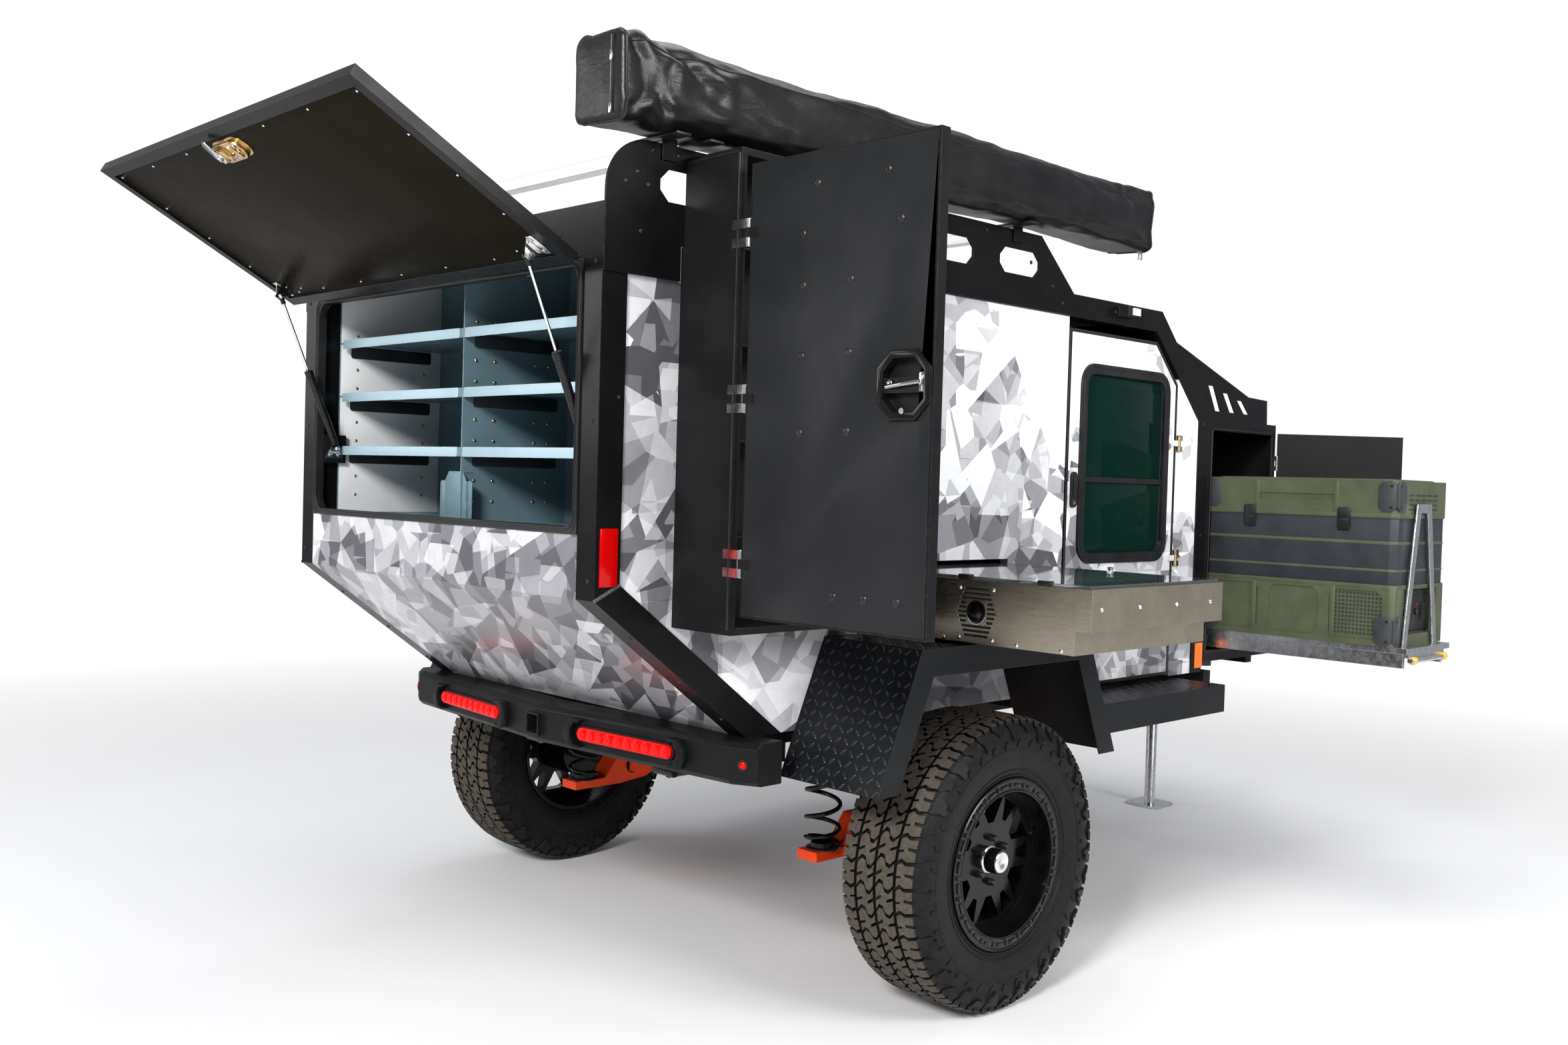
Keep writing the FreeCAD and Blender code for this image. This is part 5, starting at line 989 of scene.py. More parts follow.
def dress_struts():
    foot, tip = place("strut_turn_right"), HATCH @ EAR
    run = (tip - foot).normalized()
    split = (tip - foot).length * 0.51
    base_x, ear_x, dish = foot.x + 0.0165, EAR.x + 0.0095, DISH_Y + 0.003
    triangle = [(foot.y - 0.028, foot.z - 0.030), (foot.y + 0.030, foot.z - 0.030),
                (foot.y + 0.006, foot.z + 0.034)]
    lug = [(dish, EAR.z + 0.03), (dish, EAR.z - 0.026), (EAR.y + 0.010, EAR.z - 0.008),
           (EAR.y + 0.010, EAR.z + 0.008)]
    for hand, mirror in HANDS:
        tube = Piece(f"strut_sleeve_{hand}", "strut_black", f"strut_cylinder_{hand}")
        tube.add(sleeve(0.0111, 0.0117, 0.022, split - 0.016), mirror @ facing(run, foot))
        tube.add(sleeve(0.0048, 0.0128, split - 0.016, split + 0.004), mirror @ facing(run, foot)).done()
        end = Piece(f"strut_end_{hand}", "strut_black", f"strut_rod_{hand}")
        end.add(rounded_rod(0.0068, -0.025, -0.006, 0.0015, 20), mirror @ facing(run, tip))
        end.add(rounded_rod(0.0092, -0.0065, 0.0065, 0.003, 20), mirror @ facing(X, tip)).done()
        lower = Piece(f"strut_foot_{hand}", "bright_zinc")
        lower.add(prism(triangle, (base_x, base_x + 0.0025), "x", 0.001), mirror)
        lower.add(hexagon(0.0065, 0.004), *[
            mirror @ facing(-X, (base_x, foot.y + y, foot.z - 0.020)) for y in (-0.012, 0.015)])
        lower.add(dome(0.0085, 0.006, 16), mirror @ facing(-X, (foot.x - 0.005, foot.y, foot.z))).done()
        Piece(f"strut_base_{hand}", "panel_black").add(
            block((foot.x + 0.019, foot.x + 0.0395), (foot.y - 0.036, foot.y + 0.040),
                  (foot.z - 0.045, foot.z + 0.042)), mirror).done()
        ear = on_hatch(f"hatch_ear_{hand}", "bright_zinc")
        ear.add(block((ear_x, EAR.x + 0.036), (dish - 0.0018, dish + 0.0002),
                      (EAR.z - 0.03, EAR.z + 0.036), 0.001), mirror)
        ear.add(prism(lug, (ear_x, ear_x + 0.002), "x", 0.0008), mirror)
        ear.add(hexagon(0.006, 0.0025), *[
            mirror @ facing(Y, (EAR.x + 0.021, dish, EAR.z + z)) for z in (-0.018, 0.024)])
        ear.add(dome(0.0085, 0.005, 16), mirror @ facing(-X, (EAR.x - 0.005, EAR.y, EAR.z)))
        ear.add(rounded_rod(0.004, -0.004, 0.012, 0.001, 14), mirror @ facing(X, EAR)).done()


dress_hatch()
dress_latch()
dress_struts()

# Rear compartment

SHELF_Z = (1.518, 1.683, 1.848)
FLOOR_Z = 1.322
SIDE_IN, DIVIDER = 0.696, 0.034
PUCK = Vector((0.376, -1.118, 1.980))


def foot_plate(outline, y):
    return prism(outline, (y - 0.003, y), "y", 0.0008)


def dress_galley():
    Piece("galley_white_panel", "white_panel").add(
        block((-SIDE_IN - 0.0005, -SIDE_IN + 0.0012), (REAR + TUBE + 0.003, -0.738), (1.323, 2.078),
              0.0004)).done()
    bracket, lips = Piece("shelf_brackets", "slate"), Piece("shelf_lips", "shelf_pale")
    for z in SHELF_Z:
        for span in ((-SIDE_IN + 0.001, -SIDE_IN + 0.0045), (DIVIDER, DIVIDER + 0.003)):
            bracket.add(plate((-1.052, -0.775), (z - 0.042, z - 0.003), 0.008, span, "x", 0.0006, 4))
        for low, high in ((-0.679, DIVIDER - 0.022), (DIVIDER + 0.006, 0.679)):
            lip = [(low, z - 0.0165), (high - 0.004, z - 0.0165), (high, z - 0.012), (high, z + 0.006),
                   (high - 0.004, z + 0.0105), (low + 0.004, z + 0.0105), (low, z + 0.006)]
            lips.add(prism(lip, (-1.0865, -1.0848), "y", 0.0006))
    bracket.done()
    lips.done()
    gold, head = Piece("galley_bolts", "gold_zinc"), dome(0.0052, 0.0035, 12)
    levels = [z + step for z in (1.348, *SHELF_Z) for step in (0.030, 0.088) if z + step < 1.93]
    for way, x, rows in ((X, DIVIDER, (-1.045, -0.985, -0.850, -0.805)),
                         (-X, DIVIDER - 0.004, (-1.045, -0.850, -0.805)),
                         (X, -SIDE_IN + 0.001, (-1.030, -0.800)), (-X, SIDE_IN, (-1.030, -0.800))):
        gold.add(head, *[facing(way, (x, y, z)) for y in rows for z in levels])
    gold.done()
    foot = Piece("divider_foot", "shelf_blue")
    foot.add(foot_plate([(-0.058, FLOOR_Z), (0.052, FLOOR_Z), (0.052, 1.436), (0.036, 1.458),
                         (-0.040, 1.458), (-0.058, 1.436)], -1.077))
    foot.add(foot_plate([(-0.094, FLOOR_Z), (-0.0585, FLOOR_Z), (-0.0585, 1.434), (-0.088, 1.434),
                         (-0.094, 1.428)], -1.071))
    foot.add(foot_plate([(0.0525, FLOOR_Z), (0.074, FLOOR_Z), (0.074, 1.428), (0.068, 1.434),
                         (0.0525, 1.434)], -1.071))
    for x in (-0.058, 0.052):
        foot.add(block((x - 0.0015, x + 0.0015), (-1.079, -1.072), (FLOOR_Z, 1.434), 0.0006))
    foot.add(prism([(-1.080, 1.457), (-1.050, 1.457), (-1.050, 1.4605), (-1.080, 1.4605)],
                   (-0.040, 0.036), "x", 0.0006)).done()
    bolts("floor_screws", "bright_zinc", [(x, -1.098, 1.321) for x in row(-0.60, 0.60, 9)], Z, 0.0045,
          0.0025)
    Piece("puck_ring", "bright_zinc").add(
        lathe([(0.024, 0), (0.034, 0), (0.034, 0.004), (0.030, 0.008), (0.025, 0.008), (0.024, 0)], 32),
        facing(-Z, PUCK)).done()
    Piece("puck_lens", "warm_lens").add(
        lathe([(0.0245, -0.001), (0.0245, 0.006), (0.012, 0.0085), (0, 0.009)], 28),
        facing(-Z, PUCK)).done()
    for index, inset in enumerate((0.003, 0.0145)):
        wide, tall = (-0.700 + inset, 0.700 - inset), (1.317 + inset, 1.980 - inset)
        line = round_rect(wide, tall, 0.042 - inset, 7)
        Piece(f"seal_bead_{index}", "rubber").add(bead(line, REAR - 0.0022, 0.0034, "y")).done()


dress_galley()

# Body frame: bolts and the weld at the knee

MITRE = (Vector((HALF, REAR, KNEE)), Vector((HALF, REAR + 0.075, KNEE + 0.0374)))
SLANT = Vector((0, 0.501, 0.783 - KNEE)).normalized()
SIDE_BOLTS = ((-1.104, 1.649), (-1.104, 1.95), (-0.3, 2.075), (0.4, 2.075), (1.0, 2.075), (1.62, 1.72),
              (1.62, 1.30), (1.62, 1.0))
RACK_BOLTS = ((-1.069, 2.191), (-1.103, 2.164), (-1.036, 2.165), (-1.026, 2.25), (-0.948, 2.25),
              (-1.055, 2.051), (0.27, 2.25), (0.42, 2.25), (0.50, 2.18), (0.62, 2.12), (-0.2, 2.25),
              (0.05, 2.07), (0.68, 2.07))
WELD_BEADS = 11


def dress_frame():
    under = -SLANT.cross(X) if SLANT.cross(X).z > 0 else SLANT.cross(X)
    slant = [Vector((0.752, REAR, KNEE)) + SLANT * reach for reach in (0.16, 0.36, 0.54)]
    for name, spots, way, radius, height, both in (
            ("column_bolts", [(0.749, REAR, z) for z in (1.208, 1.589, 1.969)], -Y, 0.0062, 0.0034, True),
            ("header_bolts", [(x, REAR, 2.045) for x in row(-0.60, 0.60, 5)], -Y, 0.0055, 0.003, False),
            ("slant_bolts", slant, under, 0.006, 0.0032, True),
            ("side_bolts", [(HALF, y, z) for y, z in SIDE_BOLTS], X, 0.0058, 0.003, True),
            ("rack_plate_bolts", [(HALF + 0.005, y, z) for y, z in RACK_BOLTS], X, 0.0065, 0.0038, True)):
        bolts(name, "dark_steel", spots, way, radius, height, both=both)
    weld = Piece("knee_weld", "weld")
    for index in range(WELD_BEADS):
        spot = MITRE[0].lerp(MITRE[1], (index + 0.5) / WELD_BEADS)
        weld.add(dome(0.0052, 0.0022, 10, 2), facing(X, spot, index))
    weld.done(both=True)


dress_frame()

# Bumper and lamps

BUMPER_REAR, LAMP_SLOPE = -0.800, 0.065 / 0.790
LAMP_X, LAMP_HALF, LAMP_Z = (0.205, 0.590), 0.019, 0.7255
LAMP_MIDDLE, LAMP_LONG = (LAMP_X[0] + LAMP_X[1]) / 2, LAMP_X[1] - LAMP_X[0]
LAMP_TURN = math.atan(LAMP_SLOPE)
DIODES = 10
MARKER, MARKER_WAY = Vector((0.825, -0.7175, 0.725)), Vector((0.447, -0.894, 0))


def lamp_place(x, out, z):
    """A place on the swept rear face of the bumper, out from it by a distance."""
    return Vector((x + math.sin(LAMP_TURN) * out,
                   BUMPER_REAR + LAMP_SLOPE * x - math.cos(LAMP_TURN) * out, z))


def on_bumper(x):
    return Matrix.Translation(lamp_place(x, 0, LAMP_Z)) @ Matrix.Rotation(LAMP_TURN, 4, "Z")


def dress_bumper():
    lens_piece, leds = Piece("tail_lamps", "red_lens"), Piece("tail_leds", "red_led")
    pill = round_rect((-LAMP_LONG / 2, LAMP_LONG / 2), (-LAMP_HALF, LAMP_HALF), LAMP_HALF * 0.98, 8)
    lens_piece.add(prism(pill, (-0.0155, 0.001), "y", 0.003, 3), on_bumper(LAMP_MIDDLE))
    lens_piece.add(block((HALF, HALF + 0.004), (REAR + 0.012, REAR + 0.064), (KNEE + 0.034, KNEE + 0.174),
                         0.0012))
    cup = lathe([(0.0155, 0), (0.0148, 0.0035), (0.011, 0.0052), (0.0065, 0.0046), (0.0045, 0.0062),
                 (0, 0.0068)], 20)
    out = lamp_place(0, 1, 0) - lamp_place(0, 0, 0)
    reach = LAMP_LONG / 2 - 0.022
    leds.add(cup, *[facing(out, lamp_place(x, 0.0150, LAMP_Z))
                    for x in row(LAMP_MIDDLE - reach, LAMP_MIDDLE + reach, DIODES)])
    leds.done(both=True)
    lens_piece.done("red_lamps", both=True)
    guard = Piece("lamp_guards", "bumper_black")
    hook = [(0.012, 0.040), (-0.030, 0.040), (-0.052, 0.012), (-0.052, -0.012), (-0.030, -0.040),
            (0.012, -0.040), (0.012, -0.031), (-0.008, -0.031), (-0.024, -0.010), (-0.024, 0.010),
            (-0.008, 0.031), (0.012, 0.031)]
    for x, way in ((LAMP_X[0], 1), (LAMP_X[1], -1)):
        guard.add(prism([(u * way, v) for u, v in hook[::way]], (-0.022, 0.002), "y", 0.0025),
                  on_bumper(x))
    half = LAMP_LONG / 2 + 0.004
    guard.add(plate((-half, half), (-0.024, 0.024), 0.023, (-0.006, 0.001), ease=0.002),
              on_bumper(LAMP_MIDDLE))
    guard.done(both=True)
    Piece("end_markers", "red_lens").add(
        dome(0.0105, 0.006, 20), facing(MARKER_WAY, MARKER)).done(both=True)
    Piece("marker_rings", "black_plastic").add(
        lathe([(0.0105, 0), (0.0145, 0), (0.0145, 0.003), (0.0105, 0.003)], 24),
        facing(MARKER_WAY, MARKER)).done(both=True)


dress_bumper()

# Awning in its bag: cloth drawn over a roll, loose near its ends

BAG_LOW, BAG_HIGH = limits("awning_bag")
BAG_MIDDLE, BAG_HALF = (BAG_LOW + BAG_HIGH) / 2, (BAG_HIGH - BAG_LOW) / 2
BAG_SIDES, BAG_STATIONS = 96, 260
SQUARE_END, ROUND_MIDDLE, ROUNDING_LONG = 0.26, 0.26, 0.22
CLAMP_Y = (REAR + 0.162, -0.895, REAR + 1.562)
# folds on the outer side: a line from (away from the rear end, height) to another,
# its depth and its width
BAG_FOLDS = [
    ((0.02, 0.95), (0.13, -0.70), 0.010, 0.016), ((0.10, 1.00), (0.30, -0.10), 0.009, 0.020),
    ((0.15, 0.35), (0.03, -0.75), 0.007, 0.013), ((0.22, 0.10), (0.52, -0.65), 0.007, 0.030),
    ((0.45, 0.55), (0.80, -0.30), 0.005, 0.040), ((0.95, 0.70), (1.30, -0.25), 0.005, 0.040),
    ((1.45, 0.60), (1.75, -0.20), 0.004, 0.035), ((2.10, 0.70), (2.22, -0.60), 0.007, 0.022),
]


def fold_depth(away, height):
    """How far the folds draw the cloth in at a place on the outer side."""
    depth = 0.0
    for start, end, deep, wide in BAG_FOLDS:
        run = Vector((end[0] - start[0], (end[1] - start[1]) * 0.095))
        spot = Vector((away - start[0], (height - start[1]) * 0.095))
        share = max(0.0, min(1.0, spot.dot(run) / run.length_squared))
        offset = (spot - run * share).length
        depth += deep * math.exp(-offset / wide) * math.sin(math.pi * (0.15 + 0.7 * share))
        depth -= deep * 0.55 * math.exp(-((offset - wide * 1.6) / wide) ** 2)
    return depth


def bag_point(y, angle, draw=1.0):
    """A place on the bag's skin: square at its ends, rounder and looser between them."""
    end = max(0.0, min(y - BAG_LOW.y, BAG_HIGH.y - y))
    power = SQUARE_END + ROUND_MIDDLE * min(1.0, end / ROUNDING_LONG)
    u = math.copysign(abs(math.cos(angle)) ** power, math.cos(angle))
    v = math.copysign(abs(math.sin(angle)) ** power, math.sin(angle))
    slow = noise.noise(Vector((u * 1.3, y * 3.1, v * 1.6))) * 0.010
    fine = noise.noise(Vector((u * 4.0 + y * 3, y * 13.0, v * 4.5 + 7))) * 0.0035
    folds = fold_depth(y - BAG_LOW.y, v) * max(0.0, min(1.0, (u + 0.2) * 1.4))
    shift = draw * (1.0 + (slow + fine - folds) / BAG_HALF.x)
    return Vector((BAG_MIDDLE.x + u * BAG_HALF.x * shift, y, BAG_MIDDLE.z + v * BAG_HALF.z * shift))


def bag_ring(y, draw=1.0):
    return [bag_point(y, math.tau * (k + 0.5) / BAG_SIDES, draw) for k in range(BAG_SIDES)]


def dress_bag():
    steps = row(BAG_LOW.y + 0.010, BAG_HIGH.y - 0.010, BAG_STATIONS + 1)
    ends = ((0.001, 0.55), (-0.001, 0.86), (-0.004, 0.955))
    rings = [(BAG_LOW.y - out, draw) for out, draw in ends] + [(y, 1.0) for y in steps]
    rings += [(BAG_HIGH.y + out, draw) for out, draw in ends[::-1]]
    corners = [corner for y, draw in rings for corner in bag_ring(y, draw)]
    faces = []
    for index in range(len(rings) - 1):
        faces += band(index * BAG_SIDES, (index + 1) * BAG_SIDES, BAG_SIDES)
    last = (len(rings) - 1) * BAG_SIDES
    for start, end, way in ((0, BAG_LOW.y - 0.003, 1), (last, BAG_HIGH.y + 0.003, -1)):
        corners.append(Vector((BAG_MIDDLE.x, end, BAG_MIDDLE.z)))
        faces += [[start + (k + 1) % BAG_SIDES, start + k, len(corners) - 1][::way]
                  for k in range(BAG_SIDES)]
    cloth = Piece("awning_cloth", "cloth").add((corners, faces)).done("awning_bag", angle=70)
    piping = Piece("awning_piping", "cloth_edge")
    for y in (BAG_LOW.y + 0.012, BAG_HIGH.y - 0.012):
        piping.add(pipe(bag_ring(y), 0.0034, 6, closed=True))
    for angle in (26, 150):
        piping.add(pipe([bag_point(y, math.radians(angle)) for y in steps[2:-2]], 0.0022, 6))
    piping.done()
    zip_x, zip_y = BAG_MIDDLE.x + 0.058, BAG_LOW.y - 0.0035
    low, high = BAG_LOW.z + 0.012, BAG_HIGH.z - 0.014
    tape = [(zip_x - 0.006, low), (zip_x + 0.006, low), (zip_x + 0.006, high), (zip_x - 0.006, high)]
    Piece("awning_zip", "rubber").add(prism(tape, (zip_y, BAG_LOW.y + 0.004), "y", 0.0008)).add(
        pipe([(zip_x, zip_y, low + 0.002), (zip_x, zip_y, high - 0.002)], 0.0022, 6)).done()
    pulls = Piece("zip_pulls", "bright_zinc")
    for top in (BAG_LOW.z + 0.030, BAG_HIGH.z - 0.050):
        pulls.add(plate((zip_x - 0.004, zip_x + 0.004), (top - 0.024, top), 0.003,
                        (zip_y - 0.0018, zip_y + 0.0002), ease=0.0004, steps=3))
    for y in (BAG_HIGH.y - 0.034, BAG_HIGH.y - 0.016):
        pulls.add(plate((BAG_HIGH.x - 0.042, BAG_HIGH.x - 0.032), (BAG_LOW.z - 0.036, BAG_LOW.z + 0.012),
                        0.0045, (y - 0.0014, y + 0.0014), ease=0.0006, steps=4))
    pulls.done()
    clamp = Piece("bag_clamps", "dark_steel")
    for y in CLAMP_Y:
        clamp.add(block((BAG_LOW.x + 0.012, BAG_HIGH.x - 0.016), (y - 0.022, y + 0.022),
                        (BAG_LOW.z - 0.0075, BAG_LOW.z - 0.001), 0.001))
    clamp.done()


dress_bag()

# Pantry door and its hinges

PANTRY_Y = -0.921
PANTRY_SKIN = [(1.030, 1.141), (1.597, 1.141), (1.597, 2.197), (1.030, 2.197)]
GRIP = (1.523, 1.670)
PANTRY_BUTTONS = [
    (1.244, 2.129), (1.457, 2.131), (1.498, 2.023), (1.202, 2.020), (1.355, 1.906), (1.207, 1.903),
    (1.355, 1.746), (1.207, 1.743), (1.355, 1.573), (1.208, 1.570), (1.329, 1.208), (1.422, 1.209),
    (1.517, 1.210),
]


def grip_outline(half):
    return [(GRIP[0] + u * half, GRIP[1] + v * half) for u, v in (
        (0.5, -1), (1, -0.5), (1, 0.5), (0.5, 1), (-0.5, 1), (-1, 0.5), (-1, -0.5), (-0.5, -1))]


def dress_pantry():
    Piece("pantry_skin", "grey_skin", "pantry_door").add(prism(
        PANTRY_SKIN, (PANTRY_Y - 0.0012, PANTRY_Y + 0.0005), "y", 0.0005,
        holes=(grip_outline(0.0748)[::-1],))).done()
    button = lathe([(0.0105, -0.0005), (0.0105, 0.0008), (0.0085, 0.0022), (0.0070, 0.0030),
                    (0.0035, 0.0037), (0, 0.0039)], 20)
    bolts("pantry_buttons", "black_plastic", [(x, PANTRY_Y - 0.0012, z) for x, z in PANTRY_BUTTONS], -Y,
          body="pantry_door", shape=button)
    # the lever's chrome is darkened: painted shade over its reflections
    lever = Piece("pantry_lever", "lever_chrome", "pantry_door")
    arched = []
    for t in row(0, 1, 9):
        bow = 0.0035 + 0.0045 * math.sin(math.pi * t)
        arched.append(Vector((1.474 + 0.094 * t, PANTRY_Y - bow, 1.667 + 0.010 * t)))
    lever.add(pipe(arched, 0.0058, 14))
    lever.add(rounded_rod(0.0085, 0, 0.004, 0.001, 18), facing(-Y, (1.484, PANTRY_Y - 0.004, 1.674)))
    lever.add(block((1.566, 1.586), (PANTRY_Y - 0.007, PANTRY_Y + 0.004), (1.655, 1.697), 0.002))
    lever.add(rounded_rod(0.0032, 0, 0.036, 0.0005, 14),
              Matrix.Translation((1.577, PANTRY_Y - 0.0075, 1.658)))
    lever.done(angle=50)
    outer = grip_outline(0.074)
    rim = Piece("grip_rim", "alloy_black", "pantry_door")
    rim.add(prism(outer, (PANTRY_Y - 0.0086, PANTRY_Y - 0.0070), "y", 0.0008,
                  holes=(shrink(outer, 0.0155)[::-1],)))
    rim.add(bead(shrink(outer, 0.006), PANTRY_Y - 0.0078, 0.0016, "y", 6)).done()
    Piece("pantry_lock", "bright_zinc", "pantry_door").add(
        rounded_rod(0.0065, 0, 0.0035, 0.0008, 20),
        facing(-Y, (1.5225, PANTRY_Y - 0.0075, 1.6155))).done()
    hinge_skin("pantry_hinge", "bright_zinc", "pantry_door_swing", (1.228, 1.619, 2.010), 0.066, 0.0088,
               "pantry_door")
    Piece("cabinet_edge", "rubber").add(
        pipe([Vector((0.980, -0.9215, z)) for z in row(1.100, 2.236, 3)], 0.0035, 8)).add(
        pipe([Vector((x, -0.9215, 2.238)) for x in row(0.790, 0.978, 3)], 0.0035, 8)).done()


dress_pantry()

# Entry doors

DOOR_Y = limits("entry_door_right")[0].y
PANE_LOW, PANE_HIGH = limits("entry_window_right")
BAR_Z = (1.486, 1.506)
DOOR_RIM = [(0.744, 0.792), (1.425, 0.792), (1.425, 1.8534), (1.278, 1.996), (0.744, 1.996)]
PANE_INSET, PANE_CORNER = 0.0345, 0.04


def pane_outlines():
    """The lower and the upper pane, on each side of the bar."""
    (y0, y1), (z0, z1) = (
        (low + PANE_INSET, high - PANE_INSET) for low, high in zip(PANE_LOW.yz, PANE_HIGH.yz))
    left, right = y0 + PANE_CORNER, y1 - PANE_CORNER
    low, high = z0 + PANE_CORNER, z1 - PANE_CORNER
    lower = arc((left, low), PANE_CORNER, 180, 270, 6)[1:] + arc((right, low), PANE_CORNER, 270, 360, 6)
    upper = arc((right, high), PANE_CORNER, 0, 90, 6) + arc((left, high), PANE_CORNER, 90, 180, 6)
    return ([(y0, low)] + lower + [(y1, BAR_Z[0]), (y0, BAR_Z[0])],
            [(y0, BAR_Z[1]), (y1, BAR_Z[1])] + upper)


def dress_doors():
    for hand, mirror in HANDS:
        body = f"entry_door_{hand}"
        glass = Piece(f"entry_glass_{hand}", "window", body)
        for outline in pane_outlines():
            for span in ((0.7618, 0.7632), (0.7545, 0.7562)):
                glass.add(prism(outline, span, "x", 0.0003), mirror)
        glass.done()
        frame_bead = Piece(f"window_bead_{hand}", "rubber", body)
        for inset, x, radius in ((0.0335, 0.7640, 0.0024), (0.012, 0.7782, 0.0016)):
            line = round_rect((PANE_LOW.y + inset, PANE_HIGH.y - inset),
                              (PANE_LOW.z + inset, PANE_HIGH.z - inset), 0.076 - inset, 8)
            frame_bead.add(bead(line, x, radius, sides=6), mirror)
        frame_bead.done()
        Piece(f"door_seal_{hand}", "rubber", body).add(
            prism(shrink(DOOR_RIM, -0.002), (0.766, 0.7716), "x", 0.0012,
                  holes=(shrink(DOOR_RIM, 0.010)[::-1],)), mirror).done()
        hinge_skin(f"door_hinge_{hand}", "brass", "entry_door_right_swing", (1.190, 1.610), 0.060, 0.0068,
                   body, mirror)
        lock = Piece(f"door_lock_{hand}", "black_plastic", body)
        lock.add(plate((DOOR_Y + 0.024, DOOR_Y + 0.058), (1.400, 1.520), 0.014,
                       (HALF - 0.0055, HALF + 0.0035), "x", 0.0025, 5), mirror)
        lock.add(plate((DOOR_Y + 0.030, DOOR_Y + 0.052), (1.432, 1.508), 0.009,
                       (HALF + 0.003, HALF + 0.0085), "x", 0.0025, 5), mirror)
        lock.done()
        Piece(f"door_key_{hand}", "bright_zinc", body).add(
            rounded_rod(0.0065, 0, 0.003, 0.0006, 18),
            mirror @ facing(X, (HALF + 0.003, DOOR_Y + 0.041, 1.4165))).done()


dress_doors()

# Lenses of the flood lamps, and the nose box's seals and hinges


def dress_nose():
    low, high = limits("flood_lamps")
    Piece("flood_lenses", "reflector").add(
        block((high.x - 0.001, high.x + 0.0015), (low.y + 0.026, high.y - 0.006),
              (low.z + 0.005, high.z - 0.007), 0.0006)).done(both=True)
    for hand, mirror in HANDS:
        line = round_rect((1.683, 2.155), (0.856, 1.706), 0.012, 4)
        Piece(f"nose_seal_{hand}", "rubber").add(bead(line, 0.7738, 0.0038), mirror).done()
        hinge_skin(f"nose_hinge_{hand}", "bright_zinc", "nose_door_right_swing", (0.930, 1.560), 0.060,
                   0.0052, f"nose_door_{hand}", mirror)


dress_nose()

# Fridge on its slide

FRIDGE_LOW, FRIDGE_HIGH = limits("fridge")
BELT = (1.156, 1.396)
SCREW = lathe([(0.0052, -0.0005), (0.0052, 0.001), (0.0052 * 0.85, 0.0022), (0.0052 * 0.35, 0.0024),
               (0.0052 * 0.3, 0.0008), (0, 0.0008)], 16)


def on_slide(name, look):
    return Piece(name, look, "fridge_slide")


